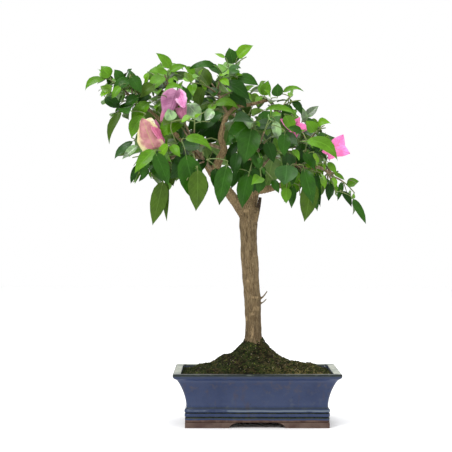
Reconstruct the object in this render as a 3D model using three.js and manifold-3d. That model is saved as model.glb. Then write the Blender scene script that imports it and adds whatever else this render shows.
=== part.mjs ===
// Bougainvillea bonsai in a glazed rectangular pot.
// Units are millimetres, +Z is up and the feet of the pot stand on z = 0.
// The front of the tree looks along -Y, and x = 0, y = 0 is the middle of the whole box.

import * as THREE from 'three';
import { mergeVertices } from 'three/addons/utils/BufferGeometryUtils.js';
import Module from 'manifold-3d';

const wasm = await Module();
wasm.setup();

// Driving sizes of the pot
const RIM_LENGTH = 300;
const RIM_DEPTH = 210;
const POT_HEIGHT = 97;
const RIM_WIDTH = 14;
const FOOT_HEIGHT = 10;
const FOOT_THICKNESS = 16;
const FOOT_GAP_AT_GROUND = 100;
const FOOT_GAP_AT_POT = 72;
const SIDE_GAP_AT_GROUND = 70;
const SIDE_GAP_AT_POT = 48;
const CORNER_RADIUS = 6;
const CORNER_STEPS = 2;
const INNER_FLOOR = 24;
const INNER_FLOOR_HALF = 116;
const LIP_ROUNDING = 1;

// How much shallower the pot is than long, to one side, and the half length of its mouth
const DEPTH_LESS = (RIM_LENGTH - RIM_DEPTH) / 2;
const INNER_TOP = RIM_LENGTH / 2 - RIM_WIDTH;

// Half length of the pot's outside at each height, from the underside to the rim
const POT_PROFILE = [
  [FOOT_HEIGHT, 128.5], [18.5, 128.8], [19.5, 127], [20.5, 129.3], [25.5, 129.3], [27, 127],
  [28, 129.3], [33, 129.3], [36, 126.2], [51, 127.8], [66, 132.2], [80, 138.7], [91, 147],
  [94.5, 149.6], [96.2, RIM_LENGTH / 2], [POT_HEIGHT, RIM_LENGTH / 2 - LIP_ROUNDING],
];

// Driving sizes of the soil
const SOIL_EDGE = 91;
const MOUND_HEIGHT = 75;
const MOUND_RADIUS = 38;
const MOUND_STEEPNESS = 1.7;
const MOUND_OVAL = 1.2;
const MOUND_ROUNDING = 0.93;
const SOIL_EDGE_SLOPE = 34;
const LUMP_HEIGHT = 1.6;
const LUMP_LENGTH = 13;
const SOIL_RINGS = [0.9, 0.78, 0.64, 0.5, 0.38, 0.28, 0.2, 0.13, 0.06];

// Clearance between solids that touch, the thinnest sliver that stays, and the finest step of a place
const SEAT = 0.3;
const SLIVER = 0.05;
const GRAIN = 0.001;

// Driving sizes of the trunk
const TRUNK_FOOT = 138;
const TRUNK_SIDES = 12;
const TRUNK_STEPS = 15;
const TRUNK_RADIUS = 14.9;
const TRUNK_TOP_SHARE = 0.72;
const ROOT_FLARE = 7;
const FLARE_HEIGHT = 9;
const FLUTE_DEPTH = 0.5;
const LIMB_STEP = 14;
const THICK_LIMB = 5;

// Limbs: the points of the middle line, and the radius at the root and at the tip
const LIMBS = {
  trunk: {
    points: [[-5, 0, 130], [-5.6, 0, 160], [-6.6, 0, 223], [-9.9, 0, 269], [-12.7, 0, 304], [-14.2, 0, 350],
      [-14.6, 0, 389]],
    radius: [TRUNK_RADIUS, TRUNK_RADIUS],
  },
  leader: {
    points: [[-10, 0, 376], [-5, 3, 405], [-3, 8, 430], [-8, 18, 470], [-16, 14, 518]],
    radius: [11, 6],
  },
  bough_left: {
    points: [[-16, 0, 372], [-35, -5, 394], [-60, -20, 430], [-83, -36, 458]],
    radius: [10.5, 7.5],
  },
  bough_left_out: {
    points: [[-79, -33, 453], [-104, -25, 487], [-150, -10, 528], [-176, -12, 552]],
    radius: [6, 3.6],
  },
  bough_rising: {
    points: [[-78, -36, 452], [-67, -46, 479], [-59, -53, 498], [-65, -55, 515], [-61, -52, 536],
      [-54, -44, 560]],
    radius: [7.2, 4.6],
  },
  bough_ledge: {
    points: [[-56, -46, 556], [-38, -36, 573], [-10, -26, 579], [22, -16, 588]],
    radius: [4.4, 3],
  },
  bough_right: {
    points: [[-4, 5, 424], [21, -12, 426], [52, -18, 436], [79, -20, 453], [108, -20, 467]],
    radius: [6.3, 3.6],
  },
  snag: {
    points: [[-2, -8, 366], [3, -9, 388], [7, -8, 411]],
    radius: [4, 2.8],
  },
  twig_stub_upper: {
    points: [[2, -2, 222], [13, -3, 230], [20, -3, 240]],
    radius: [2, 1.3],
  },
  twig_stub_lower: {
    points: [[1, -2, 214], [12, -3, 219], [19, -3, 226]],
    radius: [1.8, 1.2],
  },
};

// Foliage: the limb that each mass grows from and how far along it, the heart and reach of its
// space, the end of its leading shoot, its seed, and where it bears bracts
const MASSES = {
  left_tip: {
    limb: 'bough_left_out', along: 1, seed: 22,
    heart: [-232, -15, 596], reach: [86, 95, 70], tip: [-276, -20, 628],
  },
  left_top: {
    limb: 'bough_left_out', along: 0.72, seed: 42,
    heart: [-162, 5, 614], reach: [86, 100, 72], tip: [-176, 5, 658],
  },
  left_low: {
    limb: 'bough_left_out', along: 0.3, seed: 41,
    heart: [-188, -28, 478], reach: [86, 95, 125], tip: [-192, -38, 428],
    bloom: [-190, -62, 525],
  },
  front_left: {
    limb: 'bough_left', along: 0.75, seed: 39,
    heart: [-120, -92, 506], reach: [72, 95, 132], tip: [-104, -118, 446],
    bloom: [-149, -95, 575],
  },
  apex: {
    limb: 'bough_rising', along: 1, seed: 1,
    heart: [-74, -14, 606], reach: [108, 110, 88], tip: [-18, 0, 668],
  },
  front_right: {
    limb: 'leader', along: 0.5, seed: 43,
    heart: [4, -90, 506], reach: [72, 95, 128], tip: [-16, -108, 446],
  },
  right_top: {
    limb: 'bough_ledge', along: 1, seed: 49,
    heart: [40, -5, 562], reach: [90, 105, 70], tip: [66, 0, 597],
  },
  right_mid: {
    limb: 'bough_right', along: 0.55, seed: 5,
    heart: [95, -15, 512], reach: [90, 105, 75], tip: [124, -10, 542],
    bloom: [139, -48, 502],
  },
  right_low: {
    limb: 'bough_right', along: 0.75, seed: 23,
    heart: [70, -50, 468], reach: [75, 95, 100], tip: [88, -60, 450],
  },
  right_tip: {
    limb: 'bough_right', along: 1, seed: 33,
    heart: [142, 0, 448], reach: [76, 90, 92], tip: [182, 0, 416],
  },
  back_left: {
    limb: 'leader', along: 0.8, seed: 34,
    heart: [-140, 100, 530], reach: [110, 100, 115], tip: [-170, 150, 560],
  },
  back_right: {
    limb: 'leader', along: 0.6, seed: 49,
    heart: [52, 100, 520], reach: [110, 100, 110], tip: [80, 150, 530],
  },
  back_top: {
    limb: 'leader', along: 1, seed: 49,
    heart: [-45, 108, 577], reach: [95, 100, 95], tip: [-45, 150, 610],
  },
};

// Boughs from the limbs to the foliage: each ends a little way inside the space of its mass
const BOUGH_RADIUS = [3.4, 2.6];
const BOUGH_SIDES = 6;
const BOUGH_STEP = 18;
const BOUGH_LIFT = 6;
const BOUGH_ENDS_INSIDE = 4;
const SHORTEST_BOUGH = 0.12;
const STEM_OFF_LIMB = 2;
const ENTRY_STEP = 0.02;

// Driving sizes of the growth
const CROWN_CORE = [-45, 0, 470];
const SHOOTS = 8;
const SHOOT_STARTS = [1, 0.4];
const SHOOT_REACH = [0.45, 0.68];
const SHOOT_RISE = 0.2;
const SHOOT_DEPTH = 3;
const SHOOT_DRAW_IN = 0.8;
const SHOOT_TRIES = 8;
const OUTWARD_LEAN = 0.25;
const LEAF_LENGTH = 80;
const LEAF_SIZES = [0.7, 1.1];
const TIP_LEAF_SIZES = [0.4, 0.6];
const LEAF_ARCHES = [0.05, 0.2];
const LEAF_SPACING = 15;
const LEAF_APART = 17;
const LEAF_HALF_WIDTH = 0.28;
const LEAF_THICKNESS = 2.4;
const WIDEST = 0.38;
const ROOT_SINK = 0.1;
const TIP_LEAVES = 3;
const TIP_LEAF_STEP = 0.05;
const SHOOT_STEPS = 3;
const STEM_STEPS = 3;
const ROOT_ZONE = 6;
const TRIES = 6;
const LEAF_DRAW_IN = 0.35;
const LEAF_SHRINK = 0.88;
const BRACTS = 3;
const BRACT_LENGTH = 46;
const BRACT_ARCH = -0.1;
const BRACT_HALF_WIDTH = 0.4;
const LIMB_CLEARANCE = 3;
const BALL_SPACING = 5;
const STEM_RADIUS = [3.8, 3.2];
const SHOOT_RADIUS = [1.8, 1.4];
const HANG_HEIGHT = 620;
const HANG_RANGE = 110;
const HANG_LIMIT = 1.5;
const GOLDEN_TURN = 2.39996;

// What turns a leaf: its shoot, the way out of the crown, and which way its face looks
const WAY = { rise: 0.8, along: 0.5, alongAtTip: 1.1, outward: 0.45 };
const FACE = { up: 0.75, outward: 0.9, aside: 0.5 };
const UP = new THREE.Vector3(0, 0, 1);

// Vector helpers
const point = (place) => new THREE.Vector3(...place);
const plus = (a, b, scale = 1) => a.clone().addScaledVector(b, scale);
const minus = (a, b) => a.clone().sub(b);
const unit = (a) => a.clone().normalize();
const cross = (a, b) => new THREE.Vector3().crossVectors(a, b);
const between = (low, high, share) => low + (high - low) * share;

// Solids and geometries
function solidOf(geometry) {
  const bare = new THREE.BufferGeometry();
  bare.setAttribute('position', geometry.getAttribute('position').clone());
  if (geometry.index) bare.setIndex(geometry.index.clone());
  const merged = mergeVertices(bare, 1e-4);
  return new wasm.Manifold(new wasm.Mesh({
    numProp: 3,
    vertProperties: new Float32Array(merged.getAttribute('position').array),
    triVerts: new Uint32Array(merged.index.array),
  }));
}

function geometryOf(solid) {
  const mesh = solid.getMesh();
  const geometry = new THREE.BufferGeometry();
  geometry.setAttribute('position', new THREE.BufferAttribute(new Float32Array(mesh.vertProperties), 3));
  geometry.setIndex(new THREE.BufferAttribute(new Uint32Array(mesh.triVerts), 1));
  return geometry;
}

function geometryFrom(places, index) {
  const geometry = new THREE.BufferGeometry();
  geometry.setAttribute('position', new THREE.Float32BufferAttribute(places.flatMap((p) => p.toArray()), 3));
  geometry.setIndex(index);
  return geometry;
}

// The largest piece of a solid, without slivers: loose scraps and sealed hollows are dropped
function largestPiece(solid) {
  const pieces = solid.simplify(SLIVER).decompose();
  pieces.sort((a, b) => b.volume() - a.volume());
  return pieces[0];
}

// A closed skin over rings of equal count, each ring turning left about the way the rings go
function skinOver(rings) {
  const count = rings[0].length;
  const index = [];
  for (let ring = 0; ring + 1 < rings.length; ring += 1) {
    for (let k = 0; k < count; k += 1) {
      const here = ring * count + k;
      const next = ring * count + ((k + 1) % count);
      index.push(here, next, next + count, here, next + count, here + count);
    }
  }
  const last = (rings.length - 1) * count;
  for (let k = 1; k + 1 < count; k += 1) {
    index.push(0, k + 1, k, last, last + k, last + k + 1);
  }
  return geometryFrom(rings.flat(), index);
}

// A tapering limb along a curve, with flat ends that may stand past the curve's own
function tube(curve, radiusAt, sides, steps, past = 0) {
  const frames = curve.computeFrenetFrames(steps, false);
  const rings = [];
  for (let step = 0; step <= steps; step += 1) {
    const middle = curve.getPoint(step / steps);
    if (step === 0) middle.addScaledVector(frames.tangents[0], -past);
    if (step === steps) middle.addScaledVector(frames.tangents[steps], past);
    const ring = [];
    for (let side = 0; side < sides; side += 1) {
      const angle = (side / sides) * 2 * Math.PI;
      const radius = radiusAt(step / steps, angle, middle.z);
      const across = frames.normals[step].clone().multiplyScalar(Math.cos(angle));
      across.addScaledVector(frames.binormals[step], Math.sin(angle));
      ring.push(plus(middle, across, radius));
    }
    rings.push(ring);
  }
  return skinOver(rings);
}

// The pot
function roundedRing(z, halfLength, halfDepth, corner) {
  const ring = [];
  for (let quarter = 0; quarter < 4; quarter += 1) {
    const signX = quarter === 0 || quarter === 3 ? 1 : -1;
    const signY = quarter < 2 ? 1 : -1;
    for (let step = 0; step <= CORNER_STEPS; step += 1) {
      const angle = (quarter + step / CORNER_STEPS) * (Math.PI / 2);
      const x = signX * (halfLength - corner) + corner * Math.cos(angle);
      const y = signY * (halfDepth - corner) + corner * Math.sin(angle);
      ring.push(point([x, y, z]));
    }
  }
  return ring;
}

function potRing(z, half, corner) {
  return roundedRing(z, half, half - DEPTH_LESS, corner);
}

// Half length of the pot's inside at a height
function innerHalf(z) {
  return between(INNER_FLOOR_HALF, INNER_TOP, Math.min(1, (z - INNER_FLOOR) / (POT_HEIGHT - INNER_FLOOR)));
}

function makePot() {
  const rings = POT_PROFILE.map(([z, half]) => potRing(z, half, CORNER_RADIUS));
  rings.push(potRing(POT_HEIGHT, INNER_TOP + LIP_ROUNDING, CORNER_RADIUS));
  for (const z of [POT_HEIGHT - LIP_ROUNDING, INNER_FLOOR]) {
    rings.push(potRing(z, innerHalf(z), CORNER_RADIUS));
  }
  return skinOver(rings);
}

// One foot is an L of two legs, each with a sloping end that leaves half of the gap to the next foot
function footLeg(potHalf, gapAtGround, gapAtPot) {
  const length = potHalf - gapAtPot / 2;
  const slope = (gapAtGround - gapAtPot) / 2;
  const outline = new THREE.Shape();
  outline.moveTo(0, 0);
  outline.lineTo(length - slope, 0);
  outline.quadraticCurveTo(length - slope * 0.9, FOOT_HEIGHT * 0.7, length, FOOT_HEIGHT - SEAT);
  outline.lineTo(0, FOOT_HEIGHT - SEAT);
  outline.closePath();
  return new THREE.ExtrudeGeometry(outline, { depth: FOOT_THICKNESS, bevelEnabled: false, curveSegments: 4 });
}

function makeFoot(signX, signY) {
  const halfLength = POT_PROFILE[0][1];
  const halfDepth = halfLength - DEPTH_LESS;
  const long = footLeg(halfLength, FOOT_GAP_AT_GROUND, FOOT_GAP_AT_POT);
  long.rotateX(Math.PI / 2);
  long.translate(-halfLength, -halfDepth + FOOT_THICKNESS, 0);
  const short = footLeg(halfDepth, SIDE_GAP_AT_GROUND, SIDE_GAP_AT_POT);
  short.rotateX(Math.PI / 2);
  short.rotateZ(Math.PI / 2);
  short.translate(-halfLength, -halfDepth, 0);
  const corner = solidOf(long).add(solidOf(short));
  const sided = signX > 0 ? corner.mirror([1, 0, 0]) : corner;
  return geometryOf(signY > 0 ? sided.mirror([0, 1, 0]) : sided);
}

// The mossy soil, a mound that falls to the pot's wall
function soilHeight(x, y, halfLength, halfDepth) {
  const away = Math.hypot(x - LIMBS.trunk.points[0][0], y * MOUND_OVAL);
  const mound = MOUND_HEIGHT / (1 + (away / MOUND_RADIUS) ** MOUND_STEEPNESS);
  const broad = Math.sin(x / LUMP_LENGTH + 1) * Math.cos((1.2 * y) / LUMP_LENGTH);
  const small = Math.sin((2.4 * x + 1.9 * y) / LUMP_LENGTH);
  const lumps = LUMP_HEIGHT * (broad + 0.6 * small);
  const edge = Math.min(halfLength - Math.abs(x), halfDepth - Math.abs(y));
  const share = THREE.MathUtils.smoothstep(edge, 0, SOIL_EDGE_SLOPE);
  return SOIL_EDGE + (mound + lumps) * share;
}

function makeSoil(trunkSolid) {
  const bottom = INNER_FLOOR + SEAT;
  const halfTop = innerHalf(SOIL_EDGE) - SEAT;
  const halfDepth = halfTop - DEPTH_LESS;
  const rings = [potRing(bottom, innerHalf(bottom) - SEAT, CORNER_RADIUS)];
  rings.push(potRing(SOIL_EDGE, halfTop, CORNER_RADIUS));
  for (const share of SOIL_RINGS) {
    const depth = halfDepth * between(1, share, MOUND_ROUNDING);
    const flat = roundedRing(0, halfTop * share, depth, CORNER_RADIUS * share);
    rings.push(flat.map((p) => point([p.x, p.y, soilHeight(p.x, p.y, halfTop, halfDepth)])));
  }
  return solidOf(skinOver(rings)).subtract(trunkSolid);
}

// The limbs
function curveOf(limb) {
  return new THREE.CatmullRomCurve3(limb.points.map(point));
}

// The trunk swells to its roots and is fluted, and narrows to a blunt top between its forks
function trunkRadius(extra) {
  return (share, angle, z) => {
    const flare = ROOT_FLARE * Math.exp(-(z - TRUNK_FOOT) / FLARE_HEIGHT);
    const flutes = FLUTE_DEPTH * Math.sin(3 * angle + z / 45)
      + (0.7 * FLUTE_DEPTH + flare * 0.12) * Math.sin(5 * angle + 1);
    const blunt = share > 0.97 ? TRUNK_TOP_SHARE : 1;
    return (TRUNK_RADIUS + Math.min(flare, ROOT_FLARE) + flutes) * blunt + extra;
  };
}

function limbSolid(name, extra = 0) {
  const limb = LIMBS[name];
  const curve = curveOf(limb);
  if (name === 'trunk') {
    const whole = solidOf(tube(curve, trunkRadius(extra), TRUNK_SIDES, TRUNK_STEPS));
    const block = 20 * TRUNK_RADIUS;
    const below = new THREE.BoxGeometry(block, block, block);
    below.translate(0, 0, TRUNK_FOOT - extra - block / 2);
    return whole.subtract(solidOf(below));
  }
  const sides = limb.radius[0] > THICK_LIMB ? 8 : 6;
  const steps = Math.max(3, Math.round(curve.getLength() / LIMB_STEP));
  const radiusAt = (share) => between(limb.radius[0], limb.radius[1], share) + extra;
  return solidOf(tube(curve, radiusAt, sides, steps, extra));
}

// Seeded dice: the same seed always gives the same draws
class Dice {
  constructor(seed) {
    this.state = (seed * 7919) % 2147483647;
  }

  roll(low, high) {
    this.state = (this.state * 48271) % 2147483647;
    return between(low, high, this.state / 2147483647);
  }
}

// A mass keeps to its own space: an ellipsoid, cut by flat borders half way to its neighbours
function weightOf(mass) {
  return point(mass.reach).lengthSq() / 3;
}

function insideSpace(place, name, margin) {
  const mass = MASSES[name];
  const heart = point(mass.heart);
  const off = minus(place, heart);
  const reach = point(mass.reach);
  if (off.clone().divide(reach).lengthSq() > 1) return false;
  const power = off.lengthSq() - weightOf(mass);
  return Object.entries(MASSES).every(([other, neighbour]) => {
    if (other === name) return true;
    const theirs = point(neighbour.heart);
    const gap = place.distanceToSquared(theirs) - weightOf(neighbour) - power;
    return gap > 2 * margin * heart.distanceTo(theirs);
  });
}

// Part of an arc between two shares of its length
function arcPart(arc, from, to) {
  const blend = (a, b) => arc.v0.clone().multiplyScalar((1 - a) * (1 - b))
    .addScaledVector(arc.v1, a * (1 - b) + b * (1 - a))
    .addScaledVector(arc.v2, a * b);
  return new THREE.QuadraticBezierCurve3(blend(from, from), blend(from, to), blend(to, to));
}

// The route from a limb to the heart of a mass: a bough as far as the mass's space, then the stem.
// Where the limb is already in that space, or close to it, the stem grows from the limb itself.
function routeOf(name) {
  const mass = MASSES[name];
  const heart = point(mass.heart);
  const limb = LIMBS[mass.limb];
  const start = curveOf(limb).getPoint(mass.along);
  const lift = plus(start.clone().add(heart).multiplyScalar(0.5), UP, BOUGH_LIFT);
  const arc = new THREE.QuadraticBezierCurve3(start, lift, heart);
  let entry = 0;
  while (entry < 0.9 && !insideSpace(arc.getPoint(entry), name, BOUGH_ENDS_INSIDE)) entry += ENTRY_STEP;
  const limbRadius = between(limb.radius[0], limb.radius[1], mass.along);
  const surface = (limbRadius + STEM_OFF_LIMB) / arc.getLength();
  return { arc, entry: Math.max(entry, surface), hasBough: entry > surface + SHORTEST_BOUGH };
}

const ROUTES = Object.fromEntries(Object.keys(MASSES).map((name) => [name, routeOf(name)]));

// Balls along every limb and bough, which leaves stay clear of
function limbBalls() {
  const balls = [];
  const addAlong = (curve, [from, to]) => {
    const steps = Math.ceil(curve.getLength() / BALL_SPACING);
    for (let step = 0; step <= steps; step += 1) {
      balls.push({ at: curve.getPointAt(step / steps), radius: between(from, to, step / steps) });
    }
  };
  for (const limb of Object.values(LIMBS)) addAlong(curveOf(limb), limb.radius);
  for (const route of Object.values(ROUTES)) {
    if (route.hasBough) addAlong(arcPart(route.arc, 0, route.entry), BOUGH_RADIUS);
  }
  return balls;
}

const BALLS = limbBalls();

function clearOfLimbs(places, clearance) {
  return places.every((place) => BALLS.every((ball) => place.distanceTo(ball.at) > ball.radius + clearance));
}

// A leaf is set by its root, the way it points, the way its face looks and its length
function leafAt(root, way, face, length, arch, halfWidth) {
  const along = unit(way);
  const normal = unit(plus(face, along, -face.dot(along)));
  return { root, along, normal, across: cross(along, normal), length, arch, halfWidth };
}

function leafPoint(leaf, share, side, height) {
  const { root, along, normal, across, length } = leaf;
  const place = plus(root, along, length * share * (1 - 0.1 * share * share));
  place.addScaledVector(normal, height - leaf.arch * share * share * length);
  return place.addScaledVector(across, side * leaf.halfWidth * length);
}

function leafCorners(leaf) {
  return [leafPoint(leaf, WIDEST, 1, 0), leafPoint(leaf, WIDEST, -1, 0), leafPoint(leaf, 1, 0, 0)];
}

function leafSpots(leaf) {
  const inner = [[0.7, 0.5], [0.7, -0.5], [0.55, 0]];
  return [...leafCorners(leaf), ...inner.map(([share, side]) => leafPoint(leaf, share, side, 0))];
}

// Six faces: four that meet above the leaf's widest place, and two under it
function leafSolid(leaf) {
  const [left, right, tip] = leafCorners(leaf);
  const root = plus(leaf.root, leaf.along, -ROOT_SINK);
  const crest = leafPoint(leaf, WIDEST, 0, LEAF_THICKNESS);
  return solidOf(geometryFrom([root, left, right, tip, crest], [
    0, 1, 4, 0, 4, 2, 3, 4, 1, 3, 2, 4,
    0, 2, 1, 3, 1, 2,
  ]));
}

// Whether a straight line between two places pierces one of a leaf's two flat halves, away from its root
function pierces(from, to, leaf) {
  const [left, right, tip] = leafCorners(leaf);
  const span = from.distanceTo(to);
  const ray = new THREE.Ray(from, minus(to, from).normalize());
  return [[leaf.root, left, right], [left, tip, right]].some((half) => {
    const hit = ray.intersectTriangle(...half, false, new THREE.Vector3());
    return hit !== null && hit.distanceTo(from) < span && hit.distanceTo(leaf.root) > ROOT_ZONE;
  });
}

function edgesOf(leaf) {
  const [left, right, tip] = leafCorners(leaf);
  return [[leaf.root, left], [left, tip], [tip, right], [right, leaf.root], [leaf.root, tip]];
}

function leavesCross(a, b) {
  const cuts = (one, other) => edgesOf(one).some(([from, to]) => pierces(from, to, other));
  return cuts(a, b) || cuts(b, a);
}

function twigsCross(leaf, twigs) {
  return twigs.some((twig) => twig.slice(1).some((to, k) => pierces(twig[k], to, leaf)));
}

// The places along a shoot, as straight stretches
function stretchesOf(shoot, steps) {
  return Array.from({ length: steps + 1 }, (_, step) => shoot.getPoint(step / steps));
}

function placeOn(stretches, share) {
  const spot = Math.min(share, 0.9999) * (stretches.length - 1);
  const step = Math.floor(spot);
  return stretches[step].clone().lerp(stretches[step + 1], spot - step);
}

// A leaf that does not fit is drawn in towards the heart and made smaller, then skipped
function placeLeaf(leaf, name, leaves, twigs) {
  const heart = point(MASSES[name].heart);
  let fitted = leaf;
  for (let attempt = 0; attempt < TRIES; attempt += 1) {
    const middle = leafPoint(fitted, 0.55, 0, 0);
    const near = leaves.filter((other) => other.middle.distanceTo(middle) < fitted.length);
    const fits = leafCorners(fitted).every((corner) => insideSpace(corner, name, SEAT))
      && near.every((other) => other.middle.distanceTo(middle) > LEAF_APART)
      && clearOfLimbs(leafSpots(fitted), LIMB_CLEARANCE)
      && !near.some((other) => leavesCross(fitted, other))
      && !twigsCross(fitted, twigs);
    if (fits) {
      leaves.push({ ...fitted, middle });
      return;
    }
    const { root, normal, arch, halfWidth } = fitted;
    const way = plus(fitted.along, unit(minus(heart, root)), LEAF_DRAW_IN);
    fitted = leafAt(root, way, normal, fitted.length * LEAF_SHRINK, arch, halfWidth);
  }
}

function shootTo(start, tip) {
  const rise = start.distanceTo(tip) * SHOOT_RISE;
  const middle = start.clone().lerp(tip, 0.5);
  return new THREE.QuadraticBezierCurve3(start, plus(middle, UP, rise), tip);
}

// A shoot that leaves the space or meets a limb is drawn in towards the heart, then skipped
function placeShoot(start, tip, name) {
  const heart = point(MASSES[name].heart);
  let end = tip;
  for (let attempt = 0; attempt < SHOOT_TRIES; attempt += 1) {
    const shoot = shootTo(start, end);
    const places = shoot.getPoints(6);
    const inside = places.slice(1).every((place) => insideSpace(place, name, SHOOT_DEPTH));
    if (inside && clearOfLimbs(places.slice(2), LIMB_CLEARANCE)) return shoot;
    end = plus(heart, minus(end, heart), SHOOT_DRAW_IN);
  }
  return null;
}

// Bracts round the end of a flowering shoot
function growBracts(shoot, name, leaves) {
  const end = shoot.getPoint(0.97);
  const outward = unit(plus(minus(end, point(CROWN_CORE)), UP, -60));
  const side = unit(cross(outward, UP));
  const rise = cross(side, outward);
  for (let k = 0; k < BRACTS; k += 1) {
    const angle = (k / BRACTS) * 2 * Math.PI + 0.5;
    const around = plus(side.clone().multiplyScalar(Math.cos(angle)), rise, Math.sin(angle));
    const way = plus(outward, around, 1.3);
    const face = plus(outward, around, -1);
    placeLeaf(leafAt(end, way, face, BRACT_LENGTH, BRACT_ARCH, BRACT_HALF_WIDTH), name, leaves, []);
  }
}

function growLeaves(shoot, name, dice, leaves, twigs) {
  const core = point(CROWN_CORE);
  const stretches = stretchesOf(shoot, SHOOT_STEPS);
  const count = Math.max(2, Math.round((shoot.getLength() * 0.65) / LEAF_SPACING));
  const phase = dice.roll(0, 2 * Math.PI);
  for (let k = 0; k < count + TIP_LEAVES; k += 1) {
    const atTip = k >= count;
    const share = atTip ? 0.99 - TIP_LEAF_STEP * (k - count) : 0.2 + (0.65 * (k + 0.5)) / count;
    const root = placeOn(stretches, share);
    const along = shoot.getTangent(share);
    const side = unit(cross(along, UP));
    const rise = cross(side, along);
    const angle = phase + k * (atTip ? GOLDEN_TURN : Math.PI + 0.3) + dice.roll(-0.4, 0.4);
    const outward = unit(minus(root, core));
    const low = THREE.MathUtils.clamp((HANG_HEIGHT - root.z) / HANG_RANGE, 0, HANG_LIMIT);
    const hang = low * dice.roll(0.6, 1.3);
    const way = side.clone().multiplyScalar(Math.cos(angle));
    way.addScaledVector(rise, WAY.rise * Math.sin(angle));
    way.addScaledVector(along, atTip ? WAY.alongAtTip : WAY.along);
    way.addScaledVector(outward, WAY.outward).addScaledVector(UP, -hang);
    const face = UP.clone().multiplyScalar(FACE.up);
    face.addScaledVector(outward, FACE.outward).addScaledVector(side, dice.roll(-FACE.aside, FACE.aside));
    const length = LEAF_LENGTH * dice.roll(...(atTip ? TIP_LEAF_SIZES : LEAF_SIZES));
    const arch = dice.roll(...LEAF_ARCHES);
    placeLeaf(leafAt(root, way, face, length, arch, LEAF_HALF_WIDTH), name, leaves, twigs);
  }
}

// The growth rule: a stem to the heart, shoots all round it, and leaves by turns along each shoot
function growMass(name) {
  const mass = MASSES[name];
  const route = ROUTES[name];
  const dice = new Dice(mass.seed);
  const heart = point(mass.heart);
  const inner = arcPart(route.arc, route.entry, 1);
  const stem = route.hasBough ? inner : route.arc;
  const lean = unit(minus(heart, point(CROWN_CORE))).multiplyScalar(OUTWARD_LEAN);
  const leaves = [];
  const shoots = [];
  if (mass.bloom) {
    const shoot = shootTo(inner.getPoint(0.8), point(mass.bloom));
    shoots.push(shoot);
    growBracts(shoot, name, leaves);
  }
  for (let k = 0; k < SHOOTS; k += 1) {
    const turn = k * GOLDEN_TURN + dice.roll(0, 0.8);
    const z = 1 - (2 * (k + 0.5)) / SHOOTS;
    const ring = Math.sqrt(1 - z * z);
    const far = dice.roll(...SHOOT_REACH);
    const start = inner.getPoint(between(...SHOOT_STARTS, k / (SHOOTS - 1)));
    const round = unit(point([ring * Math.cos(turn), ring * Math.sin(turn), z])).add(lean);
    const tip = k === 0 ? point(mass.tip) : plus(heart, round.multiply(point(mass.reach)), far);
    const shoot = placeShoot(start, tip, name);
    if (shoot) shoots.push(shoot);
  }
  const twigs = [stretchesOf(stem, STEM_STEPS), ...shoots.map((shoot) => stretchesOf(shoot, SHOOT_STEPS))];
  for (const shoot of shoots) growLeaves(shoot, name, dice, leaves, twigs);
  return { stem, shoots, leaves };
}

// The place where more than two faces share an edge, once places are rounded to the grain, or null
function pinchOf(solid) {
  const { vertProperties, triVerts } = solid.getMesh();
  const stepOf = (corner, axis) => Math.round(vertProperties[corner * 3 + axis] / GRAIN);
  const keyOf = (corner) => [0, 1, 2].map((axis) => stepOf(corner, axis)).join();
  const shared = new Map();
  for (let k = 0; k < triVerts.length; k += 3) {
    const keys = [...triVerts.slice(k, k + 3)].map(keyOf);
    if (new Set(keys).size < 3) continue;
    keys.forEach((from, side) => {
      const edge = [from, keys[(side + 1) % 3]].sort().join(' ');
      shared.set(edge, (shared.get(edge) ?? 0) + 1);
    });
  }
  const pinched = [...shared].find(([, faces]) => faces > 2);
  return pinched ? point(pinched[0].split(' ')[0].split(',').map((step) => step * GRAIN)) : null;
}

function fuseMass({ stem, shoots, leaves }, grownLimbs) {
  const taper = (radius) => (share) => between(radius[0], radius[1], share);
  const pieces = [solidOf(tube(stem, taper(STEM_RADIUS), 3, STEM_STEPS))];
  for (const shoot of shoots) pieces.push(solidOf(tube(shoot, taper(SHOOT_RADIUS), 3, SHOOT_STEPS)));
  for (const leaf of leaves) pieces.push(leafSolid(leaf));
  let solid = wasm.Manifold.union(pieces);
  for (const grown of grownLimbs) solid = solid.subtract(grown);
  return largestPiece(solid);
}

// A leaf that pinches the fused solid is left out
function massSolid(name, grownLimbs) {
  const growth = growMass(name);
  let solid = fuseMass(growth, grownLimbs);
  let pinch = pinchOf(solid);
  while (pinch) {
    const distances = growth.leaves.map((leaf) => leaf.root.distanceTo(pinch));
    growth.leaves.splice(distances.indexOf(Math.min(...distances)), 1);
    solid = fuseMass(growth, grownLimbs);
    pinch = pinchOf(solid);
  }
  return solid;
}

// Finishes
const GLAZE = new THREE.MeshStandardMaterial({ color: 0x3f5f8f, roughness: 0.3, metalness: 0 });
const CLAY = new THREE.MeshStandardMaterial({ color: 0x7a5138, roughness: 0.85, metalness: 0 });
const MOSS = new THREE.MeshStandardMaterial({ color: 0x4a4a24, roughness: 1, metalness: 0 });
const BARK = new THREE.MeshStandardMaterial({ color: 0x8f7652, roughness: 0.85, metalness: 0 });
const LEAF = new THREE.MeshStandardMaterial({ color: 0x3f7a2c, roughness: 0.45, metalness: 0 });

const tree = new THREE.Group();

function addPiece(name, geometry, material) {
  const piece = new THREE.Mesh(geometry, material.clone());
  piece.name = name;
  tree.add(piece);
}

addPiece('pot', makePot(), GLAZE);
const CORNERS = {
  foot_front_left: [-1, -1],
  foot_front_right: [1, -1],
  foot_back_left: [-1, 1],
  foot_back_right: [1, 1],
};
for (const [name, signs] of Object.entries(CORNERS)) addPiece(name, makeFoot(...signs), CLAY);
addPiece('soil_mound', geometryOf(makeSoil(limbSolid('trunk', SEAT))), MOSS);

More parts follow.
